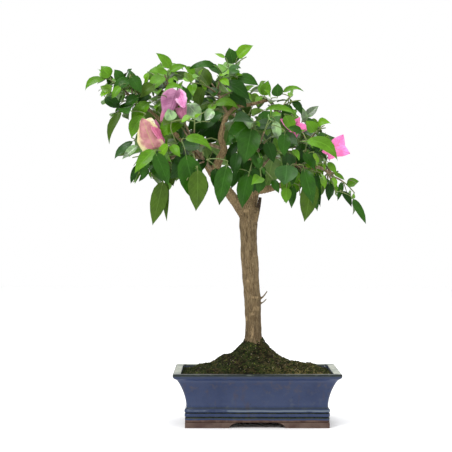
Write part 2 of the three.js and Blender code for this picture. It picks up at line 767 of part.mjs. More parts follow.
// Each limb is cut clear of its parent and of the limbs made before it
const grownLimbs = [];
for (const name of Object.keys(LIMBS)) {
  let solid = limbSolid(name);
  for (const grown of grownLimbs) solid = solid.subtract(grown);
  addPiece(name, geometryOf(largestPiece(solid)), BARK);
  grownLimbs.push(limbSolid(name, SEAT));
}

for (const [name, route] of Object.entries(ROUTES)) {
  if (!route.hasBough) continue;
  const curve = arcPart(route.arc, 0, route.entry);
  const bough = (extra) => {
    const radiusAt = (share) => between(BOUGH_RADIUS[0], BOUGH_RADIUS[1], share) + extra;
    const steps = Math.max(2, Math.round(curve.getLength() / BOUGH_STEP));
    return solidOf(tube(curve, radiusAt, BOUGH_SIDES, steps, extra));
  };
  let solid = bough(0);
  for (const grown of grownLimbs) solid = solid.subtract(grown);
  addPiece(`bough_to_${name}`, geometryOf(largestPiece(solid)), BARK);
  grownLimbs.push(bough(SEAT));
}

for (const name of Object.keys(MASSES)) {
  addPiece(`foliage_${name}`, geometryOf(massSolid(name, grownLimbs)), LEAF);
}

// The middle of the whole box goes to x = 0, y = 0, to the nearest millimetre
const whole = new THREE.Box3().setFromObject(tree);
const middle = whole.getCenter(new THREE.Vector3()).round();
tree.position.set(-middle.x, -middle.y, 0);

const bonsai = new THREE.Group();
bonsai.add(tree);
bonsai.updateMatrixWorld(true);

export default bonsai;
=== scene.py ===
# %% [markdown]
# A bougainvillea bonsai in a blue glazed pot. The solids give the true places of the pot, the soil,
# the trunk, the boughs and the masses of foliage. This lesson dresses them: bark with relief, twigs
# and leaves grown by the same rule as the solids, papery bracts, moss, and a mottled glaze.
# Every cell makes one thing and prints what it made, so a reader can stop after any of them.

# %% Load the solids
import math

import bpy
import numpy as np
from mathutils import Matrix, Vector, noise
from mathutils.geometry import intersect_ray_tri
from mathutils.kdtree import KDTree


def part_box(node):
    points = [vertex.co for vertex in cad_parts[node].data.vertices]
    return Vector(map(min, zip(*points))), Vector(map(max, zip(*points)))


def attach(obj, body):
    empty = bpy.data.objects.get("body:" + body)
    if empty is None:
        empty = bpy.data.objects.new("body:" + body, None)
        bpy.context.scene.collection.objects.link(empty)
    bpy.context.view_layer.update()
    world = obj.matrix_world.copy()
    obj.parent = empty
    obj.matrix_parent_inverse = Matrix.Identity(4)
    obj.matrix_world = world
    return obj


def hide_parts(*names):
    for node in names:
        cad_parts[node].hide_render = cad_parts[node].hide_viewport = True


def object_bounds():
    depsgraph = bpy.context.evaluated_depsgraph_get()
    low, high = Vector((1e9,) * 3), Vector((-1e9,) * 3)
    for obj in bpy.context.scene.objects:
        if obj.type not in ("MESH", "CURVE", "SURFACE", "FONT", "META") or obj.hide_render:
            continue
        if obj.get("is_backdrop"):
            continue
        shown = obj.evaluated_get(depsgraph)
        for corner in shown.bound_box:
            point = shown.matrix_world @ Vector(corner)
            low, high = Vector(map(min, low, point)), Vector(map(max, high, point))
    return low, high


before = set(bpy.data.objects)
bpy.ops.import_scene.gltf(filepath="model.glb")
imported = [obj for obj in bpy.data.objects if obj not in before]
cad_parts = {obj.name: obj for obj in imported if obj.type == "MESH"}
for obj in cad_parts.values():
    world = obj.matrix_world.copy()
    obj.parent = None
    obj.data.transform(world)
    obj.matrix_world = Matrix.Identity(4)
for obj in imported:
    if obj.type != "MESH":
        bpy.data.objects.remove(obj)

CAD_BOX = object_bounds()
print("solids:", len(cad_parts))

# %% [markdown]
# The tree is easiest to describe in millimetres from the middle of the pot, at the height of the
# feet. The pot's own box says where that middle lies in the frame, so nothing is fitted by eye.

# %% Millimetres from the middle of the pot
MM = 0.001
pot_low, pot_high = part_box("pot")
HOME = Vector(((pot_low.x + pot_high.x) / 2, (pot_low.y + pot_high.y) / 2, 0))
UP = Vector((0, 0, 1))


def between(low, high, share):
    """The value at a share of the way from low to high."""
    return low + (high - low) * share


def smooth_step(value, low, high):
    """0 below low, 1 above high, and a soft S between them. Takes single values and arrays."""
    share = np.clip((value - low) / (high - low), 0, 1)
    return share * share * (3 - 2 * share)


def rows_of(table):
    """The rows of a table in plain text. Each row is its words, and then its numbers."""
    for line in table.strip().splitlines():
        entries = line.split()
        words = [entry for entry in entries if entry[0].isalpha()]
        yield words, [float(entry) for entry in entries[len(words):]]


def places_of(text):
    """Places or spots of the picture, each written with commas between its numbers."""
    return [tuple(map(float, spot.split(","))) for spot in text.split()]


def in_metres(places):
    """Places in millimetres from the pot's middle, as metres in the frame."""
    return np.asarray(places, float).reshape(-1, 3) * MM + np.array(HOME)


def put(name, data):
    """A new object in the scene, at the origin."""
    thing = bpy.data.objects.new(name, data)
    bpy.context.scene.collection.objects.link(thing)
    return thing


def smooth(mesh):
    """Smooth shading on every face."""
    mesh.polygons.foreach_set("use_smooth", np.ones(len(mesh.polygons), bool))


def read(items, key, width, kind=np.float32):
    """One value of each of a mesh's items, as an array with a row for each."""
    values = np.zeros(len(items) * width, kind)
    items.foreach_get(key, values)
    return values.reshape(-1, width)


def mark(mesh, name, kind, domain, values):
    """Keeps a named value on every point or edge of a mesh."""
    key = "vector" if kind == "FLOAT_VECTOR" else "value"
    mesh.attributes.new(name, kind, domain).data.foreach_set(key, np.ravel(values))


def settle(piece, stands_for):
    """Rides a piece on the root body, and hides the solids that it stands for."""
    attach(piece, "root")
    if stands_for:
        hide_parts(*stands_for)


def show(name, places, faces, finishes, stands_for, finish_of_face=None, uv=None, crisp=None):
    """A mesh piece from places in millimetres. It rides on the one body and stands for its solids."""
    mesh = bpy.data.meshes.new(name)
    mesh.from_pydata(in_metres(places).tolist(), [], [list(map(int, face)) for face in faces])
    for finish in finishes:
        mesh.materials.append(finish)
    if finish_of_face is not None:
        mesh.polygons.foreach_set("material_index", np.asarray(finish_of_face, np.int32))
    smooth(mesh)
    if uv is not None:
        corners = read(mesh.loops, "vertex_index", 1, np.int32).ravel()
        layer = mesh.uv_layers.new(name="leaf_uv")
        layer.data.foreach_set("uv", np.asarray(uv, np.float32)[corners].ravel())
    if crisp is not None:
        ends = read(mesh.edges, "vertices", 2, np.int32)
        mark(mesh, "sharp_edge", "BOOLEAN", "EDGE", np.asarray(crisp, bool)[ends].all(axis=1))
    piece = put(name, mesh)
    settle(piece, stands_for)
    return piece


print("middle of the pot, metres:", [round(v, 4) for v in HOME])

# %% [markdown]
# The camera comes early, because a few leaves and the bracts are placed by where they show in the
# photograph. It looks level along +Y from a good distance, which keeps the tree almost free of
# perspective. From its distance and focal length, a spot in the picture and a depth give one place.

# %% The camera
PICTURE = 452
FOCAL_PIXELS = 1473
EYE = Vector((-55.5, -2695, 358.6))
SENSOR_MM = 36

camera_data = bpy.data.cameras.new("camera")
camera_data.sensor_width = SENSOR_MM
camera_data.lens = SENSOR_MM * FOCAL_PIXELS / PICTURE
camera = put("camera", camera_data)
camera.location = Vector(in_metres(EYE)[0])
camera.rotation_euler = (math.pi / 2, 0, 0)
bpy.context.scene.camera = camera


def seen(across, down, depth):
    """The place that shows at this spot of the picture, at a depth behind the pot's middle."""
    scale = (depth - EYE.y) / FOCAL_PIXELS
    x = EYE.x + (across - PICTURE / 2) * scale
    return Vector((x, depth, EYE.z - (down - PICTURE / 2) * scale))


def in_picture(places):
    """Where places in millimetres show in the picture."""
    places = np.asarray(places, float)
    scale = FOCAL_PIXELS / (places[..., 1] - EYE.y)
    across = PICTURE / 2 + (places[..., 0] - EYE.x) * scale
    return np.stack([across, PICTURE / 2 - (places[..., 2] - EYE.z) * scale], axis=-1)


print("lens, mm:", round(camera_data.lens, 1))

# %% [markdown]
# A finish here is a small node tree round one principled shader. A recipe keeps the tree and adds
# to it a step at a time: a noise, a soft step, a mix of two colours. Values that are the same all
# over a surface are set on the shader's own sockets.

# %% Recipes for finishes
def socket_of(sockets, identifier):
    """A node's socket by its identifier."""
    return next(socket for socket in sockets if socket.identifier == identifier)


class Recipe:
    """A finish in the making. Each step gives a socket, and takes sockets or plain values."""

    def __init__(self, name, roughness, **sockets):
        self.material = bpy.data.materials.new(name)
        self.material.use_nodes = True
        self.tree = self.material.node_tree
        self.shader = self.tree.nodes["Principled BSDF"]
        for socket, value in {"Roughness": roughness, **sockets}.items():
            self.shader.inputs[socket.replace("_", " ")].default_value = value

    def feed(self, socket, value):
        """Wires a socket to another one, or sets it. A colour is three numbers."""
        if isinstance(value, bpy.types.NodeSocket):
            self.tree.links.new(value, socket)
        else:
            socket.default_value = (*value, 1) if socket.type == "RGBA" else value

    def node(self, kind, **values):
        node = self.tree.nodes.new("ShaderNode" + kind)
        for name, value in values.items():
            self.feed(node.inputs[name.replace("_", " ")], value)
        return node

    def place(self):
        """The piece's own coordinates, in metres."""
        return self.node("TexCoord").outputs["Object"]

    def split(self, vector):
        """The three numbers of a vector, by their letters."""
        return self.node("SeparateXYZ", Vector=vector).outputs

    def attribute(self, name, output="Fac"):
        """A value that is kept on the mesh."""
        node = self.node("Attribute")
        node.attribute_name = name
        return node.outputs[output]

    def noise(self, scale, detail=4, roughness=0.55, stretch=None, on=None):
        """A noise on the piece's coordinates or on others, which may be stretched along an axis."""
        vector = on or self.place()
        if stretch:
            vector = self.node("Mapping", Vector=vector, Scale=stretch).outputs["Vector"]
        node = self.node("TexNoise", Vector=vector, Scale=scale, Detail=detail, Roughness=roughness)
        return node.outputs["Fac"]

    def math(self, operation, first, second=0.0):
        node = self.node("Math")
        node.operation = operation
        self.feed(node.inputs[0], first)
        self.feed(node.inputs[1], second)
        return node.outputs[0]

    def plus(self, first, second):
        return self.math("ADD", first, second)

    def minus(self, first, second):
        return self.math("SUBTRACT", first, second)

    def times(self, first, second):
        return self.math("MULTIPLY", first, second)

    def step(self, value, low, high):
        """A soft step from 0 at low to 1 at high."""
        node = self.node("MapRange", Value=value, From_Min=low, From_Max=high)
        node.interpolation_type = "SMOOTHSTEP"
        return node.outputs["Result"]

    def band(self, value, rise, fall):
        """1 between a soft rise and a soft fall, each given by its two ends, and 0 outside."""
        return self.times(self.step(value, *rise), self.step(value, fall[1], fall[0]))

    def mix(self, share, first, second):
        """A mix of two colours."""
        node = self.node("Mix")
        node.data_type = "RGBA"
        for identifier, value in (("Factor_Float", share), ("A_Color", first), ("B_Color", second)):
            self.feed(socket_of(node.inputs, identifier), value)
        return socket_of(node.outputs, "Result_Color")

    def blend(self, value, low, high, first, second):
        """The first colour where the value is low, the second where it is high."""
        return self.mix(self.step(value, low, high), first, second)

    def layered(self, base, *layers):
        """Colours laid one over another. Each layer is where it shows, its colour, and how strongly."""
        for share, colour, amount in layers:
            base = self.mix(self.times(share, amount), base, colour)
        return base

    def relief(self, height, distance, strength):
        """Fine relief from a height, with its depth in metres."""
        bump = self.node("Bump", Height=height, Distance=distance, Strength=strength)
        self.feed(self.shader.inputs["Normal"], bump.outputs["Normal"])

    def coloured(self, colour):
        """The finished material."""
        self.feed(self.shader.inputs["Base Color"], colour)
        return self.material


def veins(recipe, ribs, slope, midrib, sharpness, amount, waver=None):
    """How far a spot of a leaf is from its midrib, and the lines of midrib and side veins."""
    uv = recipe.node("UVMap")
    uv.uv_map = "leaf_uv"
    place = recipe.split(uv.outputs["UV"])
    side = recipe.math("ABSOLUTE", recipe.minus(place["X"], 0.5))
    rows = recipe.minus(recipe.times(place["Y"], ribs), recipe.times(side, slope))
    if waver:
        rows = recipe.plus(rows, waver)
    wave = recipe.math("COSINE", recipe.times(rows, 2 * math.pi))
    branches = recipe.times(recipe.step(wave, sharpness, 1.0), amount)
    return side, recipe.math("MAXIMUM", recipe.step(side, *midrib), branches)


print("steps of a recipe:", [step for step in vars(Recipe) if not step.startswith("_")])

# %% [markdown]
# The limbs. Each one is a smooth line through a few places with a radius at either end, the same
# as in the solids. The spline is centripetal, which passes through its points without loops where
# they are unevenly spaced, as they are along a crooked bough.

# %% Limbs
LIMBS = {
    "trunk": ("-5,0,130 -5.6,0,160 -6.6,0,223 -9.9,0,269 -12.7,0,304 -14.2,0,350 -14.6,0,389", (14.9, 14.9)),
    "leader": ("-10,0,376 -5,3,405 -3,8,430 -8,18,470 -16,14,518", (11, 6)),
    "bough_left": ("-16,0,372 -35,-5,394 -60,-20,430 -83,-36,458", (10.5, 7.5)),
    "bough_left_out": ("-79,-33,453 -104,-25,487 -150,-10,528 -176,-12,552", (6, 3.6)),
    "bough_rising": ("-78,-36,452 -67,-46,479 -59,-53,498 -65,-55,515 -61,-52,536 -54,-44,560", (7.2, 4.6)),
    "bough_ledge": ("-56,-46,556 -38,-36,573 -10,-26,579 22,-16,588", (4.4, 3)),
    "bough_right": ("-4,5,424 21,-12,426 52,-18,436 79,-20,453 108,-20,467", (6.3, 3.6)),
    "snag": ("-2,-8,366 3,-9,388 7,-8,411", (4, 2.8)),
    "twig_stub_upper": ("2,-2,222 13,-3,230 20,-3,240", (2, 1.3)),
    "twig_stub_lower": ("1,-2,214 12,-3,219 19,-3,226", (1.8, 1.2)),
}
LENGTH_STEPS = 200
TANGENT_REACH = 0.005


def spline_point(points, share):
    """The place at a share of a centripetal spline."""
    spot = share * (len(points) - 1)
    step = min(int(spot), len(points) - 2)
    part = spot - step
    b, c = points[step], points[step + 1]
    a = points[step - 1] if step > 0 else b * 2 - c
    d = points[step + 2] if step + 2 < len(points) else c * 2 - b
    first, middle, last = ((q - p).length ** 0.5 for p, q in ((a, b), (b, c), (c, d)))
    leave = ((b - a) / first - (c - a) / (first + middle) + (c - b) / middle) * middle
    enter = ((c - b) / middle - (d - b) / (middle + last) + (d - c) / last) * middle
    bend = (c - b) * 3 - leave * 2 - enter
    return b + leave * part + bend * part ** 2 + ((b - c) * 2 + leave + enter) * part ** 3


class Line:
    """A smooth line: its place at a share of its parameter, and at a share of its length."""

    def __init__(self, point):
        self.point = point
        places = np.array([point(k / LENGTH_STEPS) for k in range(LENGTH_STEPS + 1)])
        self.gone = np.concatenate([[0], np.cumsum(np.linalg.norm(np.diff(places, axis=0), axis=1))])

    @property
    def length(self):
        return float(self.gone[-1])

    def at_length(self, share):
        shares = np.linspace(0, 1, LENGTH_STEPS + 1)
        return self.point(float(np.interp(share * self.length, self.gone, shares)))

    def tangent(self, share):
        low, high = max(share - TANGENT_REACH, 0), min(share + TANGENT_REACH, 1)
        return (self.point(high) - self.point(low)).normalized()


class Arc(Line):
    """A line of one bend, from a start by a middle to an end."""

    def __init__(self, start, middle, end):
        self.start, self.middle, self.end = start, middle, end
        super().__init__(lambda t: start * (1 - t) ** 2 + middle * (2 * t * (1 - t)) + end * t * t)

    def tangent(self, share):
        return ((self.middle - self.start) * (1 - share) + (self.end - self.middle) * share).normalized()

    def part(self, low, high):
        def blend(a, b):
            first, second, third = (1 - a) * (1 - b), a * (1 - b) + b * (1 - a), a * b
            return self.start * first + self.middle * second + self.end * third
        return Arc(blend(low, low), blend(low, high), blend(high, high))


def line_through(places):
    """A smooth line through places."""
    points = [Vector(place) for place in places]
    return Line(lambda share: spline_point(points, share))


LIMB_LINES = {name: line_through(places_of(text)) for name, (text, _) in LIMBS.items()}
print("limbs, mm long:", {name: round(line.length) for name, line in LIMB_LINES.items()})

# %% [markdown]
# The masses of foliage. Each has a heart, a reach and a seed, and keeps to its own space: an
# ellipsoid cut by flat borders towards its neighbours. A border lies where both masses have an
# equal claim, so no two spaces overlap, and one short rule works for the whole crown.

# %% Masses of foliage
# Name and limb, where along the limb, seed, and the places: heart, reach, tip, and blossom if any.
MASS_TABLE = """
left_tip bough_left_out 1 22 -232 -15 596 86 95 70 -276 -20 628
left_top bough_left_out 0.72 42 -162 5 614 86 100 72 -176 5 658
left_low bough_left_out 0.3 41 -188 -28 478 86 95 125 -192 -38 428 -190 -62 525
front_left bough_left 0.75 39 -120 -92 506 72 95 132 -104 -118 446 -149 -95 575
apex bough_rising 1 1 -74 -14 606 108 110 88 -18 0 668
front_right leader 0.5 43 4 -90 506 72 95 128 -16 -108 446
right_top bough_ledge 1 49 40 -5 562 90 105 70 66 0 597
right_mid bough_right 0.55 5 95 -15 512 90 105 75 124 -10 542 139 -48 502
right_low bough_right 0.75 23 70 -50 468 75 95 100 88 -60 450
right_tip bough_right 1 33 142 0 448 76 90 92 182 0 416
back_left leader 0.8 34 -140 100 530 110 100 115 -170 150 560
back_right leader 0.6 49 52 100 520 110 100 110 80 150 530
back_top leader 1 49 -45 108 577 95 100 95 -45 150 610
"""
MASSES = {}
for (name, limb), (along, seed, *numbers) in rows_of(MASS_TABLE):
    places = [numbers[k:k + 3] for k in range(0, len(numbers), 3)]
    MASSES[name] = dict(zip(("heart", "reach", "tip", "bloom"), places), limb=limb, along=along)
    MASSES[name]["seed"] = int(seed)
HEARTS = {name: Vector(mass["heart"]) for name, mass in MASSES.items()}
CLAIMS = {name: Vector(mass["reach"]).length_squared / 3 for name, mass in MASSES.items()}


def inside_space(place, name, margin):
    """Whether a place lies in a mass's space, with a margin in millimetres to its neighbours."""
    heart = HEARTS[name]
    off = place - heart
    reach = MASSES[name]["reach"]
    if sum((off[k] / reach[k]) ** 2 for k in range(3)) > 1:
        return False
    own = off.length_squared - CLAIMS[name]
    for other, theirs in HEARTS.items():
        if other == name:
            continue
        gap = (place - theirs).length_squared - CLAIMS[other] - own
        if gap <= 2 * margin * (heart - theirs).length:
            return False
    return True


class Dice:
    """Seeded dice: the same seed always gives the same draws, here and in the solids."""

    def __init__(self, seed):
        self.state = (seed * 7919) % 2147483647

    def roll(self, low, high):
        self.state = (self.state * 48271) % 2147483647
        return between(low, high, self.state / 2147483647)


print("masses:", len(MASSES))

# %% [markdown]
# From a limb to the heart of a mass runs one arc. As far as the mass's border it is a bough, and
# from there on it is the stem that the shoots spring from. Balls along every limb and bough mark
# the wood that leaves have to stay clear of.

# %% Boughs and stems
BOUGH_RADIUS = (3.4, 2.6)
BOUGH_LIFT = 6
BOUGH_ENDS_INSIDE = 4
SHORTEST_BOUGH = 0.12
STEM_OFF_LIMB = 2
ENTRY_STEP = 0.02
LAST_ENTRY = 0.9
BALL_SPACING = 5


def route_of(name):
    """The arc to a mass's heart, where its stem begins, and whether a bough leads there."""
    mass = MASSES[name]
    start = LIMB_LINES[mass["limb"]].point(mass["along"])
    arc = Arc(start, (start + HEARTS[name]) / 2 + UP * BOUGH_LIFT, HEARTS[name])
    entry = 0.0
    while entry < LAST_ENTRY and not inside_space(arc.point(entry), name, BOUGH_ENDS_INSIDE):
        entry += ENTRY_STEP
    thickness = between(*LIMBS[mass["limb"]][1], mass["along"])
    surface = (thickness + STEM_OFF_LIMB) / arc.length
    return arc, max(entry, surface), entry > surface + SHORTEST_BOUGH


ROUTES = {name: route_of(name) for name in MASSES}
BOUGHS = {f"bough_to_{name}": arc.part(0, entry)
          for name, (arc, entry, has_bough) in ROUTES.items() if has_bough}
WOODEN = [(name, LIMB_LINES[name], LIMBS[name][1]) for name in LIMBS]
WOODEN += [(name, line, BOUGH_RADIUS) for name, line in BOUGHS.items()]
balls = []
for _, line, radii in WOODEN:
    steps = math.ceil(line.length / BALL_SPACING)
    balls += [(*line.at_length(k / steps), between(*radii, k / steps)) for k in range(steps + 1)]
BALLS = np.array(balls)


def clear_of_limbs(places, clearance):
    """Whether every place stays clear of the wood."""
    off = np.asarray(places)[:, None, :] - BALLS[None, :, :3]
    return bool((np.linalg.norm(off, axis=2) > BALLS[:, 3] + clearance).all())


print("boughs:", sorted(BOUGHS), "solids for them:", all(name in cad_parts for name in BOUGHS))

# %% [markdown]
# A leaf is set by its root, the way it points, the way its face looks, its length and its arch.
# It is tried where the rule wants it. Where it would leave its mass, touch the wood or pass
# through another leaf or a twig, it is drawn in and made smaller, and in the end skipped.

# %% One leaf
LEAF_HALF_WIDTH = 0.28
WIDEST = 0.38
MIDDLE_SHARE = 0.55
ROOT_ZONE = 6
LEAF_APART = 17
TRIES = 6
LEAF_DRAW_IN = 0.35
LEAF_SHRINK = 0.88
LIMB_CLEARANCE = 3
SEAT = 0.3


def leaf_at(root, way, face, length, arch, half_width=LEAF_HALF_WIDTH):
    """A leaf, with its three directions worked out."""
    along = way.normalized()
    normal = (face - along * face.dot(along)).normalized()
    return dict(root=root, along=along, normal=normal, across=along.cross(normal), length=length,
                arch=arch, half_width=half_width)


def leaf_point(leaf, share, side=0.0):
    """A place on a leaf, at a share of its length and to one side."""
    length = leaf["length"]
    place = leaf["root"] + leaf["along"] * (length * share * (1 - 0.1 * share * share))
    place = place - leaf["normal"] * (leaf["arch"] * share * share * length)
    if "bend" in leaf:
        place = place + leaf["bend"] * (4 * share * (1 - share))
    return place + leaf["across"] * (side * leaf["half_width"] * length)


def corners_of(leaf):
    """The left corner, the right corner and the tip."""
    return leaf_point(leaf, WIDEST, 1), leaf_point(leaf, WIDEST, -1), leaf_point(leaf, 1)


def pierces(start, end, leaf):
    """Whether a straight line passes through a leaf, away from its root."""
    left, right, tip = leaf["corners"]
    span = (end - start).length
    ray = (end - start).normalized()
    for half in ((leaf["root"], left, right), (left, tip, right)):
        hit = intersect_ray_tri(*half, ray, start, True)
        if hit is not None and (hit - start).length < span and (hit - leaf["root"]).length > ROOT_ZONE:
            return True
    return False


def leaves_cross(one, other):
    """Whether an edge of either leaf passes through the other."""
    for a, b in ((one, other), (other, one)):
        left, right, tip = a["corners"]
        root = a["root"]
        for start, end in ((root, left), (left, tip), (tip, right), (right, root), (root, tip)):
            if pierces(start, end, b):
                return True
    return False


def place_leaf(leaf, name, leaves, twigs, margin=SEAT, apart=LEAF_APART):
    """Adds the leaf to the list where it fits, and says whether it did."""
    for _ in range(TRIES):
        leaf["corners"] = corners_of(leaf)
        leaf["middle"] = leaf_point(leaf, MIDDLE_SHARE)
        near = [other for other in leaves if (other["middle"] - leaf["middle"]).length < leaf["length"]]
        places = [*leaf["corners"], leaf_point(leaf, 0.7, 0.5), leaf_point(leaf, 0.7, -0.5), leaf["middle"]]
        fits = (
            all(inside_space(corner, name, margin) for corner in leaf["corners"])
            and all((other["middle"] - leaf["middle"]).length > apart for other in near)
            and clear_of_limbs(places, LIMB_CLEARANCE)
            and not any(leaves_cross(leaf, other) for other in near)
            and not any(pierces(a, b, leaf) for twig in twigs for a, b in zip(twig, twig[1:]))
        )
        if fits:
            leaves.append(leaf)
            return True
        way = leaf["along"] + (HEARTS[name] - leaf["root"]).normalized() * LEAF_DRAW_IN
        leaf = {**leaf, **leaf_at(leaf["root"], way, leaf["normal"], leaf["length"] * LEAF_SHRINK,
                                  leaf["arch"], leaf["half_width"])}
    return False

# %% [markdown]
# The growth rule, as in the solids: a stem to the heart of the mass, shoots all round it by the
# golden angle, and leaves by turns along each shoot. High leaves reach out and low leaves hang.
# The draws are made in the same order, so the leaves here lie on the leaves of the solids.

# %% The growth rule
CROWN_CORE = Vector((-45, 0, 470))
SHOOTS = 8
SHOOT_STARTS = (1, 0.4)
SHOOT_REACH = (0.45, 0.68)
SHOOT_RISE = 0.2
SHOOT_DEPTH = 3
SHOOT_DRAW_IN = 0.8
SHOOT_TRIES = 8
SHOOT_CHECKS = 6
OUTWARD_LEAN = 0.25
LEAF_LENGTH = 80
LEAF_SIZES = (0.7, 1.1)
TIP_LEAF_SIZES = (0.4, 0.6)
LEAF_ARCHES = (0.05, 0.2)
LEAF_SPACING = 15
LEAFY_FROM, LEAFY_PART = 0.2, 0.65
TIP_LEAVES = 3
TIP_LEAF_STEP = 0.05
HANG_HEIGHT = 620
HANG_RANGE = 110
HANG_LIMIT = 1.5
GOLDEN_TURN = 2.39996
STEPS = 3
BRACTS = 3
BRACT_LENGTH = 46
BRACT_SPREAD = 1.3


def shoot_to(start, tip):
    """A shoot that rises a little on its way."""
    return Arc(start, (start + tip) / 2 + UP * ((tip - start).length * SHOOT_RISE), tip)


def place_shoot(start, tip, name):
    """A shoot that stays in its space and clear of the wood, drawn in where it has to be."""
    heart = HEARTS[name]
    for _ in range(SHOOT_TRIES):
        shoot = shoot_to(start, tip)
        places = stretches_of(shoot, SHOOT_CHECKS)
        inside = all(inside_space(place, name, SHOOT_DEPTH) for place in places[1:])
        if inside and clear_of_limbs(places[2:], LIMB_CLEARANCE):
            return shoot
        tip = heart + (tip - heart) * SHOOT_DRAW_IN
    return None


def stretches_of(line, steps=STEPS):
    """Straight stretches along a line."""
    return [line.point(k / steps) for k in range(steps + 1)]


def place_on(stretches, share):
    """The place at a share of straight stretches."""
    spot = min(share, 0.9999) * (len(stretches) - 1)
    step = int(spot)
    return stretches[step].lerp(stretches[step + 1], spot - step)


def around(line, share):
    """The way along a line at a share of it, and the two ways across."""
    along = line.tangent(share)
    side = along.cross(UP).normalized()
    return along, side, side.cross(along)


def rule_leaf(root, ways, angle, ahead, outward, out_pull, hangs, tilt, size, dice):
    """A leaf turned round its twig by an angle, pulled ahead and outward, and hanging if it is low."""
    along, side, rise = ways
    hang = min(HANG_LIMIT, max(0, (HANG_HEIGHT - root.z) / HANG_RANGE)) * dice.roll(*hangs)
    way = side * math.cos(angle) + rise * (0.8 * math.sin(angle)) + along * ahead
    way = way + outward * out_pull - UP * hang
    face = UP * 0.75 + outward * 0.9 + side * dice.roll(-tilt, tilt)
    length = size[0] * dice.roll(*size[1])
    return leaf_at(root, way, face, length, dice.roll(*LEAF_ARCHES))


def grow_leaves(shoot, name, dice, leaves, twigs):
    """Leaves by turns along a shoot, and small ones round its tip."""
    count = max(2, round(shoot.length * LEAFY_PART / LEAF_SPACING))
    phase = dice.roll(0, 2 * math.pi)
    for k in range(count + TIP_LEAVES):
        young = k >= count
        share = 0.99 - TIP_LEAF_STEP * (k - count) if young else LEAFY_FROM + LEAFY_PART * (k + 0.5) / count
        root = place_on(stretches_of(shoot), share)
        angle = phase + k * (GOLDEN_TURN if young else math.pi + 0.3) + dice.roll(-0.4, 0.4)
        size = (LEAF_LENGTH, TIP_LEAF_SIZES if young else LEAF_SIZES)
        outward = (root - CROWN_CORE).normalized()
        leaf = rule_leaf(root, around(shoot, share), angle, 1.1 if young else 0.5, outward, 0.45,
                         (0.6, 1.3), 0.5, size, dice)
        leaf["young"] = young
        place_leaf(leaf, name, leaves, twigs)


def grow_bloom(inner, place, name, leaves):
    """The shoot that bears blossom. Its bracts keep other leaves away, as they do in the solids."""
    shoot = shoot_to(inner.point(0.8), Vector(place))
    end = shoot.point(0.97)
    outward = (end - CROWN_CORE - UP * 60).normalized()
    side = outward.cross(UP).normalized()
    rise = side.cross(outward)
    for k in range(BRACTS):
        angle = k / BRACTS * 2 * math.pi + 0.5
        turned = side * math.cos(angle) + rise * math.sin(angle)
        bract = leaf_at(end, outward + turned * BRACT_SPREAD, outward - turned, BRACT_LENGTH, -0.1, 0.4)
        place_leaf({**bract, "bract": True}, name, leaves, [])
    return shoot


def grow_mass(name):
    """The stem, shoots and leaves of one mass."""
    mass = MASSES[name]
    arc, entry, has_bough = ROUTES[name]
    dice = Dice(mass["seed"])
    heart = HEARTS[name]
    inner = arc.part(entry, 1)
    stem = inner if has_bough else arc
    lean = (heart - CROWN_CORE).normalized() * OUTWARD_LEAN
    leaves = []
    shoots = [grow_bloom(inner, mass["bloom"], name, leaves)] if "bloom" in mass else []
    for k in range(SHOOTS):
        turn = k * GOLDEN_TURN + dice.roll(0, 0.8)
        z = 1 - 2 * (k + 0.5) / SHOOTS
        ring = math.sqrt(1 - z * z)
        far = dice.roll(*SHOOT_REACH)
        start = inner.point(between(*SHOOT_STARTS, k / (SHOOTS - 1)))
        way = Vector((ring * math.cos(turn), ring * math.sin(turn), z)).normalized() + lean
        aim = heart + Vector([way[axis] * mass["reach"][axis] for axis in range(3)]) * far
        shoot = place_shoot(start, Vector(mass["tip"]) if k == 0 else aim, name)
        if shoot:
            shoots.append(shoot)
    twigs = [stretches_of(twig) for twig in [stem, *shoots]]
    for shoot in shoots:
        grow_leaves(shoot, name, dice, leaves, twigs)
    return dict(stem=stem, shoots=shoots, leaves=leaves)


GROWTH = {name: grow_mass(name) for name in MASSES}
print("leaves by mass:", {name: len(growth["leaves"]) for name, growth in GROWTH.items()})

# %% [markdown]
# The solids stop at shoots of a certain thickness, to stay light. On the real plant each shoot
# bears short side sprigs with smaller leaves, and these fill the crown. They are grown here with
# dice of their own, so the leaves above stay where they are, and within the same spaces.

# %% Finer sprigs and their leaves
SPRIGS = 2
SPRIG_ZONE = (0.25, 0.92)
SPRIG_LENGTHS = (16, 36)
SPRIG_RADII = (1.1, 0.6)
SPRIG_CLEARANCE = 2
SPRIG_LEAVES = 2
SPRIG_TIP_LEAVES = 2
SPRIG_LEAF_LENGTHS = (42, 74)
SPRIG_TIP_LENGTHS = (14, 30)
SPRIG_SEED = 100
NEIGHBOUR_WITHIN = 260
FINE_MARGIN = -4
FINE_APART = 14
sprigs = []


def sprig_from(root, ways, angle, outward, name, dice):
    """A short side twig, or nothing where it would leave its space or touch the wood."""
    along, side, rise = ways
    way = side * math.cos(angle) + rise * math.sin(angle) + along * 0.8 + outward * 0.3
    sprig = shoot_to(root, root + way.normalized() * dice.roll(*SPRIG_LENGTHS))
    spots = [sprig.point(0.5), sprig.point(1)]
    inside = all(inside_space(spot, name, 0) for spot in spots)
    return sprig if inside and clear_of_limbs(spots, SPRIG_CLEARANCE) else None


